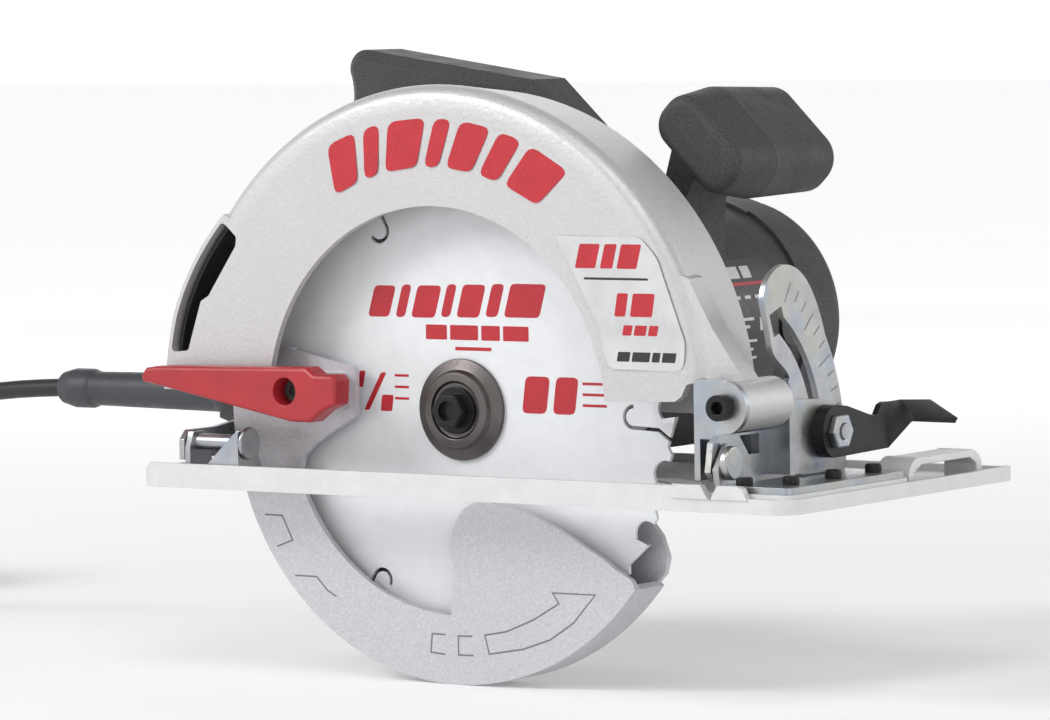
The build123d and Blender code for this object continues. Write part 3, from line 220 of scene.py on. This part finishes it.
def worn_steel(name, tint, rough=0.3, metal=1.0, hue=(), wave=0.03, cloudy=0.10, specular=0.5):
    """Rolled or plated metal: cloudy tint, faint scratches, uneven polish; hue adds plating colours."""
    t = Tree(name)
    cloud = t.span(t.noise(9, detail=4, rough=0.6), 0.3, 0.7)
    colour = t.mix(cloud, scaled(tint, 1 - cloudy), scaled(tint, 1 + cloudy / 2))
    for size, plating in hue:
        patches = t.span(t.noise(size, detail=2), 0.48, 0.70, to_high=0.5)
        colour = t.mix(patches, colour, plating)
    scratches = t.noise(0.5, rough=0.7, stretch=(0.15, 1.0, 1.0))
    polish = t.math("ADD", t.noise(3, detail=4), t.math("MULTIPLY", scratches, SCRATCH))
    t.set(Base_Color=colour, Metallic=metal, Specular_IOR_Level=specular)
    t.set(Roughness=t.span(polish, 0.3, 1.0, rough - 0.08, rough + 0.14))
    waves = t.bump(t.noise(2.5, detail=2), wave)
    t.set(Normal=t.bump(scratches, 0.012, normal=waves))
    return t.material


def textured_plastic(name, tint):
    """Moulded plastic with a spark-eroded grain and rubbed, lighter places."""
    t = Tree(name)
    grain = t.noise(0.7, rough=0.65)
    colour = t.mix(t.span(grain, 0.38, 0.66), scaled(tint, 0.72), scaled(tint, 1.45))
    rubbed = t.span(t.noise(28), 0.45, 0.7, to_high=0.35)
    colour = t.mix(rubbed, colour, scaled(tint, 1.35))
    t.set(Base_Color=colour, Specular_IOR_Level=0.28)
    t.set(Roughness=t.span(t.noise(12), 0.3, 0.7, 0.50, 0.66))
    t.set(Normal=t.bump(grain, 0.11))
    return t.material


def smooth_plastic(name, tint, rough=0.35, ripple=0.02):
    """Plain moulded plastic with a faint ripple."""
    t = Tree(name)
    colour = t.mix(t.span(t.noise(14), 0.35, 0.7), tint, scaled(tint, 0.84))
    t.set(Base_Color=colour)
    t.set(Roughness=t.span(t.noise(5, detail=4), 0.3, 0.7, rough - 0.06, rough + 0.1))
    t.set(Normal=t.bump(t.noise(1.2), ripple))
    return t.material


def print_ink(name, tint):
    """Screen-printed ink: slightly uneven cover, with pinholes that show the ground."""
    t = Tree(name)
    holes = t.span(t.noise(0.6, detail=2), 0.62, 0.74, to_high=0.5)
    ground = [min(1.0, channel + 0.12) for channel in tint]
    colour = t.mix(t.span(t.noise(6), 0.3, 0.7), tint, scaled(tint, 0.88))
    t.set(Base_Color=t.mix(holes, colour, ground))
    t.set(Roughness=t.span(t.noise(4), 0.3, 0.7, 0.34, 0.48))
    t.set(Normal=t.bump(t.noise(0.9, detail=2), 0.02))
    return t.material


BLUE_PASSIVE, YELLOW_PASSIVE = (0.31, 0.39, 0.50), (0.48, 0.45, 0.36)    # tints of the zinc's passivation
FINISHES = {}
for make, name, tint, look in (
    (cast_metal, "magnesium_casting", (0.56, 0.55, 0.555), {}),
    (cast_metal, "aluminium_casting", (0.575, 0.56, 0.59), {"contrast": 0.11, "rough": 0.42}),
    (worn_steel, "zinc_plated_steel", (0.43, 0.44, 0.455),
     {"cloudy": 0.2, "hue": ((11, BLUE_PASSIVE), (17, YELLOW_PASSIVE))}),
    (worn_steel, "pressed_steel_shoe", (0.66, 0.66, 0.665), {"rough": 0.50, "metal": 0.30, "cloudy": 0.06}),
    (worn_steel, "blade_steel", (0.74, 0.755, 0.775),
     {"rough": 0.42, "metal": 0.15, "cloudy": 0.05, "wave": 0.01}),
    (worn_steel, "black_steel", (0.010, 0.010, 0.011), {"rough": 0.34, "metal": 0.0, "specular": 0.3}),
    (worn_steel, "dark_washer_steel", (0.14, 0.128, 0.125), {"rough": 0.36}),
    (worn_steel, "bright_steel", (0.62, 0.62, 0.64), {"rough": 0.25}),
    (textured_plastic, "charcoal_plastic", (0.052, 0.048, 0.053), {}),
    (smooth_plastic, "red_plastic", (0.40, 0.020, 0.028), {"rough": 0.38}),
    (smooth_plastic, "black_plastic", (0.012, 0.012, 0.013), {}),
    (smooth_plastic, "grey_rubber", (0.043, 0.046, 0.053), {"rough": 0.45}),
    (smooth_plastic, "black_cord", (0.014, 0.014, 0.015), {"rough": 0.42}),
    (worn_steel, "brass", (0.78, 0.58, 0.26), {"rough": 0.25}),
    (worn_steel, "copper", (0.72, 0.38, 0.22), {}),
    (worn_steel, "lamination_steel", (0.24, 0.24, 0.26), {"rough": 0.5}),
    (smooth_plastic, "carbon", (0.03, 0.03, 0.03), {"rough": 0.6}),
):
    FINISHES[name] = make(name, tint, **look)
RED_INK = print_ink("red_ink", (0.47, 0.013, 0.024))
BLACK_INK = print_ink("black_ink", (0.018, 0.018, 0.020))
PALE_INK = print_ink("pale_ink", (0.62, 0.62, 0.62))
LABEL_FILM = smooth_plastic("label_film", (0.60, 0.60, 0.61), rough=0.30, ripple=0.01)
LABEL_BLACK = smooth_plastic("label_black", (0.014, 0.013, 0.015), rough=0.30, ripple=0.01)
# Painted shade: a dark metal colour stands in for the shade inside cast and stamped grooves; the lines it
# covers are thin raised strips
GROOVE_SHADE_PAINT = cast_metal("painted_groove_shade", (0.20, 0.19, 0.21), contrast=0.10)


# ------------------------------------------------------------------ pieces
def piece_from(mesh, name, body, slot, *nodes, finish=None):
    """A finished piece: rides on its body, has the given finish or else the slot's material, and stands for
    CAD nodes.
    """
    piece = bpy.data.objects.new(name, mesh)
    bpy.context.scene.collection.objects.link(piece)
    mesh.materials.append(finish or FINISHES[slot])
    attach(piece, body)
    if nodes:
        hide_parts(*nodes)
    return piece


def shade(mesh, sharp_angle):
    """Smooth shading except over edges sharper than the angle."""
    limit = math.radians(sharp_angle)
    bm = bmesh.new()
    bm.from_mesh(mesh)
    for face in bm.faces:
        face.smooth = True
    for edge in bm.edges:
        edge.smooth = len(edge.link_faces) == 2 and edge.calc_face_angle(0.0) < limit
    bm.to_mesh(mesh)
    bm.free()


FLAT = 0.35                                         # degrees: faces that meet at less are one
ROUNDED = 28.0                                      # degrees: edges sharper than this are rounded
SHARP = 40.0                                        # degrees: edges sharper than this stay hard in shading


def cad_copy(node):
    """A bmesh of a CAD node's shape, with its flat faces whole."""
    bm = bmesh.new()
    bm.from_mesh(NODES[node].data)
    bmesh.ops.remove_doubles(bm, verts=bm.verts, dist=WELD)
    bmesh.ops.dissolve_limit(bm, angle_limit=math.radians(FLAT), verts=bm.verts, edges=bm.edges)
    return bm


def softened(node, width):
    """A mesh of a CAD node with its sharp edges rounded, `width` in mm."""
    bm = cad_copy(node)
    limit = math.radians(ROUNDED)
    edges = [e for e in bm.edges if len(e.link_faces) == 2 and e.calc_face_angle(0.0) > limit]
    bmesh.ops.bevel(bm, geom=edges, offset=width * MM, offset_type="OFFSET", segments=2,
                    profile=0.5, affect="EDGES", clamp_overlap=True)
    bmesh.ops.dissolve_degenerate(bm, dist=WELD, edges=bm.edges)
    mesh = bpy.data.meshes.new(node + "_soft")
    bm.to_mesh(mesh)
    bm.free()
    shade(mesh, SHARP)
    return mesh


SOFTENED = {                                        # nodes that are seen, and how much to round them, mm
    "upper_guard": 0.5, "lower_guard": 0.45, "guard_lever": 0.6, "gear_case": 0.8, "motor_end_cap": 0.6,
    "tilt_bracket": 0.35, "depth_pivot_bolt": 0.3, "bevel_quadrant": 0.35, "bevel_ear_front": 0.35,
    "bevel_bracket_rear": 0.35, "bevel_rivet_front": 0.5, "bevel_rivet_rear": 0.5, "quadrant_rivets": 0.3,
    "shoe": 0.5, "fence_bridge": 0.6, "depth_arm": 0.35, "depth_lever": 0.4, "bevel_lever": 0.4,
    "bevel_nut": 0.3, "bevel_bolt": 0.25, "blade": 0.12, "outer_washer": 0.3, "blade_bolt": 0.3,
    "strain_relief": 0.5, "plug": 1.2, "plug_blades": 0.3, "trigger": 0.9, "lock_button": 0.7,
    "motor_housing": 0.6, "brush_cap_front": 0.4, "brush_cap_rear": 0.4, "handle_screws": 0.2,
    "lever_screw": 0.3, "depth_lever_bolt": 0.4, "handle_near": 1.2, "handle_far": 1.2, "knob_near": 1.2,
    "knob_far": 1.2, "chip_liner": 0.2,
}
MATT_FINISH = {"lever_screw": "carbon"}             # nodes that look darker than their material's slot
for node, width in SOFTENED.items():
    piece = piece_from(softened(node, width), node + "_piece", BODY_OF[node], SLOT_OF[node], node,
                       finish=FINISHES.get(MATT_FINISH.get(node)))
    even = piece.modifiers.new("face_normals", "WEIGHTED_NORMAL")
    even.keep_sharp = True
for node, thing in NODES.items():
    thing.data.materials.clear()
    thing.data.materials.append(FINISHES[SLOT_OF[node]])


# ------------------------------------------------------------------ printing, labels and small detail
CORNER_STEPS = 3


def rounded(points, radius):
    """A closed outline with its corners rounded."""
    outline = []
    for before, corner, after in zip(points[-1:] + points[:-1], points, points[1:] + points[:1]):
        corner = Vector(corner)
        arms = [Vector(other) - corner for other in (before, after)]
        cuts = [corner + arm * min(0.45, radius / arm.length) for arm in arms]
        for step in range(CORNER_STEPS + 1):
            t = step / CORNER_STEPS
            outline.append(cuts[0] * (1 - t) ** 2 + corner * 2 * t * (1 - t) + cuts[1] * t ** 2)
    return [tuple(point) for point in outline]


def bar(x, z, width, height, slant, radius):
    """A rounded block whose lower left corner is at (x, z); its top leans right by slant mm."""
    top_left, top_right = (x + slant, z + height), (x + width + slant, z + height)
    return rounded([(x, z), (x + width, z), top_right, top_left], radius)


def row(blocks, z, height, slant, radius):
    """Blocks side by side at one height: each is (x, width)."""
    return [bar(x, z, width, height, slant, radius) for x, width in blocks]


def lines(x, width, heights, thick):
    """Level lines, one above another."""
    return [bar(x, z, width, thick, 0.0, 0.3) for z in heights]


def stroke(points, width, closed=False):
    """The outlines of a line of one width through points, a four-sided one for each run."""
    line = [Vector(point) for point in points]
    count = len(line)
    sides = []
    for i, point in enumerate(line):
        runs = []
        if closed or i > 0:
            runs.append((point - line[i - 1]).normalized())
        if closed or i < count - 1:
            runs.append((line[(i + 1) % count] - point).normalized())
        middle = sum(runs, Vector((0.0, 0.0))).normalized()
        across = Vector((-middle.y, middle.x)) / max(0.5, middle.dot(runs[0]))
        sides.append((point + across * width / 2, point - across * width / 2))
    last = count if closed else count - 1
    quads = []
    for i in range(last):
        j = (i + 1) % count
        quads.append([sides[i][0], sides[j][0], sides[j][1], sides[i][1]])
    return quads


def prisms(outlines, place, thick):
    """A mesh of thin closed blocks: each outline's (u, v) points are placed by place(u, v, depth)."""
    bm = bmesh.new()
    for outline in outlines:
        rings = []
        for depth in (0.0, thick):
            ring = [bm.verts.new(at(*place(u, v, depth))) for u, v in outline]
            bm.faces.new(ring)
            rings.append(ring)
        for i in range(len(outline)):
            j = (i + 1) % len(outline)
            bm.faces.new((rings[0][i], rings[0][j], rings[1][j], rings[1][i]))
    bmesh.ops.remove_doubles(bm, verts=bm.verts, dist=WELD)
    walls = [face for face in bm.faces if all(len(edge.link_faces) > 2 for edge in face.edges)]
    bmesh.ops.delete(bm, geom=walls, context="FACES_ONLY")      # between blocks that meet side by side
    bmesh.ops.recalc_face_normals(bm, faces=bm.faces)
    mesh = bpy.data.meshes.new("printed")
    bm.to_mesh(mesh)
    bm.free()
    return mesh


SUNK = 0.05                                         # how far a print's blocks reach into its face, mm


def on_near_face(height):
    """Places (x, z) outlines on a face at y = height that looks to -Y."""
    return lambda u, v, depth: (u, height + SUNK - depth, v)


def printed(name, outlines, height, node, finish, thick=0.05):
    """Thin shapes on the near face, at y = height, of a node."""
    mesh = prisms(outlines, on_near_face(height), SUNK + thick)
    return piece_from(mesh, name, BODY_OF[node], SLOT_OF[node], finish=finish)


GUARD_FACE = -20.0                                  # y of the upper guard's near face
BAND_INNER, BAND_OUTER = 88.5, 106.0                # the red blocks along the guard's arc, mm
BAND_FROM, BAND_TO = 118.0, 58.0                    # degrees
BAND_LEAN, BAND_ROUND = 5.0, 3.2                    # mm
BLOCK_WIDTHS = (7.2, 4.0, 9.0, 4.0, 7.2, 5.4, 10.0)  # degrees of arc
BAND_MIDDLE = (BAND_INNER + BAND_OUTER) / 2


def arc_block(start, width):
    """A leaning rounded block on the guard's arc, from one angle on."""
    flat = bar(math.radians(BAND_FROM - start) * BAND_MIDDLE, BAND_INNER, math.radians(width) * BAND_MIDDLE,
               BAND_OUTER - BAND_INNER, BAND_LEAN, BAND_ROUND)
    return [polar(r, BAND_FROM - math.degrees(s / BAND_MIDDLE)) for s, r in flat]


gap = (BAND_FROM - BAND_TO - sum(BLOCK_WIDTHS)) / (len(BLOCK_WIDTHS) - 1)
guard_blocks, start = [], BAND_FROM
for width in BLOCK_WIDTHS:
    guard_blocks.append(arc_block(start, width))
    start -= width + gap
printed("guard_print", guard_blocks, GUARD_FACE, "upper_guard", RED_INK)

LABEL_THICK, LABEL_ROUND = 0.12, 2.0
LABEL = [(54.8, 64.6), (90.8, 64.2), (97.5, 57.2), (108.8, 27.8), (108.2, 19.5), (105.7, 17.4), (78, 17.9),
         (75.1, 21.2), (73.3, 31.1), (63.6, 49.3)]
LABEL_FACE = GUARD_FACE - LABEL_THICK
label_red = row([(63, 8.6), (73.6, 5.2), (80.6, 8.4)], 53.2, 8.6, 2.2, 0.7)
label_red += row([(79.4, 4.6), (86.0, 9.2)], 36.4, 8.2, 1.4, 0.8)
label_red += row([(82.6, 3.8), (87.4, 5.0), (93.4, 3.8)], 29.8, 3.6, 0.8, 0.4)
label_black = row([(80.2, 5.2), (86.4, 7.4), (94.8, 3.2), (99.0, 5.6)], 20.6, 3.4, 0.7, 0.3)
label_black.append(bar(66.8, 49.2, 27.0, 0.8, 0.0, 0.2))
printed("guard_label", [rounded(LABEL, LABEL_ROUND)], GUARD_FACE, "upper_guard", LABEL_FILM, LABEL_THICK)
printed("label_red", label_red, LABEL_FACE, "upper_guard", RED_INK)
printed("label_black", label_black, LABEL_FACE, "upper_guard", BLACK_INK)

BLADE_FACE = -0.8                                   # y of the blade's near face
TITLE = (                                           # x, z, width, height
    (-42, 33, 9.5, 11.5), (-29.6, 33, 4.2, 12.0), (-22.6, 33, 10.6, 11.8), (-9.4, 33.4, 4.2, 12.0),
    (-2.4, 33.4, 10.0, 12.0), (10.4, 33.8, 5.4, 12.0), (18.6, 33.8, 15.5, 12.2))
blade_red = [bar(*block, 3.4, 1.8) for block in TITLE]
blade_red += row([(-16, 9.4), (-5.2, 12.4), (8.6, 8.2), (18.2, 11.2)], 25.2, 5.4, 0.0, 0.5)
blade_red += lines(-3.0, 16.0, [21.4], 1.3)
blade_red += row([(26.0, 10.6), (39.4, 9.6)], -0.6, 13.4, 1.8, 2.2)
blade_red += lines(52.4, 10.4, [2.4, 6.3, 10.2], 1.0)
blade_red.append(bar(-44.5, -1.4, 2.4, 14.0, 8.0, 0.7))
blade_red.append(bar(-47.4, 7.0, 2.6, 6.0, 1.2, 0.6))
blade_red.append(bar(-37.0, -1.6, 5.2, 6.0, 0.8, 0.8))
blade_red += lines(-30.4, 6.4, [2.8, 7.0, 11.2], 0.9)
printed("blade_print", blade_red, BLADE_FACE, "blade", RED_INK)

BLADE_RADIUS = (high.z - low.z) / 2 / MM
TEETH = 24
TIP_LONG, TIP_DEEP, TIP_WIDE = 5.4, 1.7, 2.3        # carbide tips brazed on the teeth, mm
TIP_INSET, TIP_RAKE = 0.05, 0.5                     # mm inside the blade's circle, degrees of lean
HEEL_DROP, HEEL_BACK = 0.75, 0.5                    # how far the tip's heel falls away, mm
tips = []
for tooth in range(TEETH):
    lead = tooth * 360 / TEETH
    depth_angle = math.degrees(TIP_DEEP / BLADE_RADIUS)
    heel_angle = math.degrees((TIP_DEEP + HEEL_BACK) / BLADE_RADIUS)
    crown = polar(BLADE_RADIUS - TIP_INSET, lead)
    root = polar(BLADE_RADIUS - TIP_LONG, lead - TIP_RAKE)
    root_behind = polar(BLADE_RADIUS - TIP_LONG, lead - TIP_RAKE - depth_angle)
    heel = polar(BLADE_RADIUS - HEEL_DROP, lead - heel_angle)
    tips.append([crown, root, root_behind, heel])
tip_mesh = prisms(tips, lambda u, v, depth: (u, TIP_WIDE / 2 - depth, v), TIP_WIDE)
piece_from(tip_mesh, "blade_tips", BODY_OF["blade"], "bright_steel")

LOWER_FACE = -8.0                                   # y of the lower guard's near face
LINE_WIDE, LINE_THICK = 0.62, 0.04                  # of the outlines cast in it, mm
ARROW = [(13.1, -80.9), (22.7, -79.1), (34.4, -74.3), (45.7, -67.9), (43.0, -64.1), (61.4, -64.0),
         (51.8, -74.6), (41.6, -81.1), (29.9, -85.1), (14.9, -87.7)]
OPEN_LINES = (
    [(-4.3, -81.6), (-10.3, -81.5), (-11.0, -88.3), (-4.6, -88.8)],
    [(7.5, -81.6), (1.3, -81.8), (1.3, -88.7), (8.0, -88.6)],
    [(-85.7, -41.0), (-77.7, -41.1), (-73.1, -50.0), (-80.3, -52.7)],
    [(-72.3, -63.1), (-62.3, -63.1), (-57.5, -67.9), (-53.3, -70.1)])
engraving = stroke(ARROW, LINE_WIDE, closed=True)
for line in OPEN_LINES:
    engraving += stroke(line, LINE_WIDE)
# The arrow's outlines are coloured dark as painted groove shade
printed("guard_arrow", engraving, LOWER_FACE, "lower_guard", GROOVE_SHADE_PAINT, LINE_THICK)

MOTOR_AXIS, MOTOR_RADIUS = (18.0, 25.0), 46.0       # (x, z) and mm
MOTOR_LABEL_THICK, INK_THICK, BAND_THICK = 0.15, 0.05, 1.5    # mm
WRAP_STEP = 3                                       # degrees between the rings of a curved plate


def wrapped(bands, thick):
    """A mesh of curved plates round the motor: each is (y, length along Y, start angle, sweep)."""
    bm = bmesh.new()
    for y, length, angle, sweep in bands:
        steps = max(1, round(sweep / WRAP_STEP))
        rings = []
        for i in range(steps + 1):
            ring = []
            for radius, place in ((-SUNK, y), (-SUNK, y + length), (thick, y + length), (thick, y)):
                x, z = polar(MOTOR_RADIUS + radius, angle + sweep * i / steps, MOTOR_AXIS)
                ring.append(bm.verts.new(at(x, place, z)))
            rings.append(ring)
        bm.faces.new(rings[0])
        bm.faces.new(rings[-1])
        for first, second in zip(rings, rings[1:]):
            for a in range(4):
                b = (a + 1) % 4
                bm.faces.new((first[a], first[b], second[b], second[a]))
    bmesh.ops.recalc_face_normals(bm, faces=bm.faces)
    mesh = bpy.data.meshes.new("wrapped")
    bm.to_mesh(mesh)
    bm.free()
    shade(mesh, SHARP)
    return mesh


def on_motor(name, bands, thick, finish=None):
    """A piece made of curved plates on the motor housing."""
    return piece_from(wrapped(bands, thick), name, "saw_body", "charcoal_plastic", finish=finish)


PRINT_THICK = MOTOR_LABEL_THICK + INK_THICK
LABEL_MARKS = ((84, 9, 24, 6), (95, 6, 24, 6), (84, 5, 14, 1.6), (92, 4, 14, 1.6), (99, 8, 14, 1.6),
               (84, 12, 4, 1.4), (84, 9, 0.5, 1.4), (100, 5, -1, 6), (84, 14, -6, 1.2), (84, 12, -10, 1.2),
               (84, 15, -14, 1.2), (84, 10, -18, 1.2))
on_motor("motor_label", [(68, 46, -38, 72)], MOTOR_LABEL_THICK, LABEL_BLACK)
on_motor("motor_label_line", [(68.5, 44, 20.5, 1.5)], PRINT_THICK, RED_INK)
on_motor("motor_label_marks", LABEL_MARKS, PRINT_THICK, PALE_INK)
on_motor("motor_band", [(131, 16.6, -95, 187), (128.2, 2.8, 62, 22)], BAND_THICK)

# degree marks on the bevel quadrant, coloured dark as painted groove shade
QUADRANT_FRONT = 132.6                              # x of its front face
BEVEL_PIVOT = (-26.0, -13.0)                        # (y, z)
MARK_FROM, MARK_TO, MARK_STEP, MARK_SHIFT = 10, 60, 5, -2    # degrees
MARK_WIDE, MARK_OUTER, SHORT_INNER, LONG_INNER = 0.55, 71.6, 67.0, 63.5    # mm; every third is long
marks = []
for degree in range(MARK_FROM, MARK_TO + 1, MARK_STEP):
    inner = LONG_INNER if degree % (3 * MARK_STEP) == 0 else SHORT_INNER
    angle = degree + MARK_SHIFT
    marks += stroke([polar(inner, angle, BEVEL_PIVOT), polar(MARK_OUTER, angle, BEVEL_PIVOT)], MARK_WIDE)
mark_mesh = prisms(marks, lambda u, v, depth: (QUADRANT_FRONT - SUNK + depth, u, v), 2 * SUNK)
piece_from(mark_mesh, "quadrant_marks", BODY_OF["bevel_quadrant"], SLOT_OF["bevel_quadrant"],
           finish=GROOVE_SHADE_PAINT)

# ------------------------------------------------------------------ power cord
CORD_RADIUS = 3.55
FLOOR = -99.6                                       # z of the floor, under the lower guard
COIL_RADIUS, COIL_TURNS, COIL_POINTS = 41.0, 7.875, 16    # points a turn
COIL_X, COIL_Y = -440.0, 118.0
COIL_FOOT = FLOOR + CORD_RADIUS
COIL_TOP = COIL_FOOT + COIL_TURNS * 2 * CORD_RADIUS
LEAD_POINTS = (                                     # from the strain relief to the foot of the coil
    (-223, 45, -1), (-262, 45.3, -2.5), (-296, 48, -12), (-325, 53, -31), (-350, 59.5, -55), (-376, 67, -77),
    (-406, 73.5, -92))
TAIL_POINTS = (                                     # from the top of the coil to the plug
    (-427, 73, -42.5), (-444, 59, -52), (-462.5, 48.5, -65), (-482.5, 41.5, -77.5), (-504, 37.8, -85.2),
    (-526, 36.5, -87.6))


def cord_route():
    """The cord's control points: down to the floor, round the coil, and off its top to the plug."""
    points = list(LEAD_POINTS)
    count = round(COIL_TURNS * COIL_POINTS)
    reach = COIL_RADIUS / math.cos(math.pi / COIL_POINTS) ** 0.5    # the curve runs inside its points
    for step in range(count + 1):
        x, y = polar(reach, -90 - 360 * step / COIL_POINTS)
        points.append((COIL_X + x, COIL_Y + y, COIL_FOOT + (COIL_TOP - COIL_FOOT) * step / count))
    return points + list(TAIL_POINTS)


curve = bpy.data.curves.new("power_cord_line", "CURVE")
curve.dimensions = "3D"
route = cord_route()
spline = curve.splines.new("NURBS")
spline.points.add(len(route) - 1)
for point, place in zip(spline.points, route):
    point.co = (*at(*place), 1.0)
spline.order_u = 3
spline.use_endpoint_u = True
spline.resolution_u = 6
curve.bevel_depth = CORD_RADIUS * MM
curve.bevel_resolution = 5
curve.use_fill_caps = True
curve.materials.append(FINISHES["black_cord"])
flex = bpy.data.objects.new("power_cord_flex", curve)
bpy.context.scene.collection.objects.link(flex)
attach(flex, "saw_body")
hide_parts("power_cord", "power_cord_end", "cord_coil")

# ------------------------------------------------------------------ floor and light
FLOOR_HALF = 12.0                                   # metres
GLOW_FROM, GLOW_TO = 0.4, 2.4                       # metres from the saw: the floor's paper glows more there
GLOW_NEAR, GLOW_FAR = 0.14, 0.56
HORIZON, ZENITH = 1.04, 0.34                        # strengths of the studio's white walls and ceiling
WALL_TOP, CEILING = 0.12, 0.65                      # the rise of the directions where they meet
WHITE = (1.0, 1.0, 1.0)

floor_z = at(0, 0, FLOOR).z
corners = [(x * FLOOR_HALF, y * FLOOR_HALF, floor_z) for x, y in ((-1, -1), (1, -1), (1, 1), (-1, 1))]
floor_mesh = bpy.data.meshes.new("floor")
floor_mesh.from_pydata(corners, [], [(0, 1, 2, 3)])
floor = bpy.data.objects.new("floor", floor_mesh)
bpy.context.scene.collection.objects.link(floor)
paper = Tree("floor_paper")
clouds = paper.span(paper.noise(400, detail=2), 0.3, 0.7)
distance = paper.add("ShaderNodeVectorMath", operation="LENGTH")
paper.put(distance.inputs[0], paper.place)
paper.set(Base_Color=paper.mix(clouds, scaled(WHITE, 0.80), scaled(WHITE, 0.82)))
paper.set(Roughness=0.9, Emission_Color=WHITE)
paper.set(Emission_Strength=paper.span(distance.outputs["Value"], GLOW_FROM, GLOW_TO, GLOW_NEAR, GLOW_FAR))
floor_mesh.materials.append(paper.material)

world = bpy.data.worlds.new("studio")
bpy.context.scene.world = world
world.use_nodes = True
sky = world.node_tree.nodes["Background"]
sky.inputs["Color"].default_value = (*WHITE, 1.0)
direction = world.node_tree.nodes.new("ShaderNodeTexCoord").outputs["Generated"]
rise = world.node_tree.nodes.new("ShaderNodeSeparateXYZ")
ramp = world.node_tree.nodes.new("ShaderNodeMapRange")
set_span(ramp, WALL_TOP, CEILING, HORIZON, ZENITH)
world.node_tree.links.new(direction, rise.inputs[0])
world.node_tree.links.new(rise.outputs["Z"], ramp.inputs["Value"])
world.node_tree.links.new(ramp.outputs["Result"], sky.inputs["Strength"])
bpy.context.scene.view_settings.view_transform = "Standard"

SOFTBOXES = (                                       # name, place, size in metres, watts
    ("key", (-1000, -1300, 1100), (0.7, 0.7), 18),
    ("front_top", (550, -750, 1350), (0.7, 0.9), 6),
    ("fill", (1700, -900, 500), (1.0, 1.4), 4),
    ("back_left", (-900, 1500, 900), (1.2, 1.2), 4),
    ("back_right", (1300, 1300, 700), (1.2, 1.2), 5),
)
for name, place, size, power in SOFTBOXES:
    light = bpy.data.lights.new(name, "AREA")
    light.energy = power
    light.shape = "RECTANGLE"
    light.size, light.size_y = size
    lamp = bpy.data.objects.new(name, light)
    bpy.context.scene.collection.objects.link(lamp)
    lamp.location = at(*place)
    lamp.rotation_mode = "QUATERNION"
    lamp.rotation_quaternion = (lamp.location - BLADE_CENTRE).to_track_quat("Z", "Y")
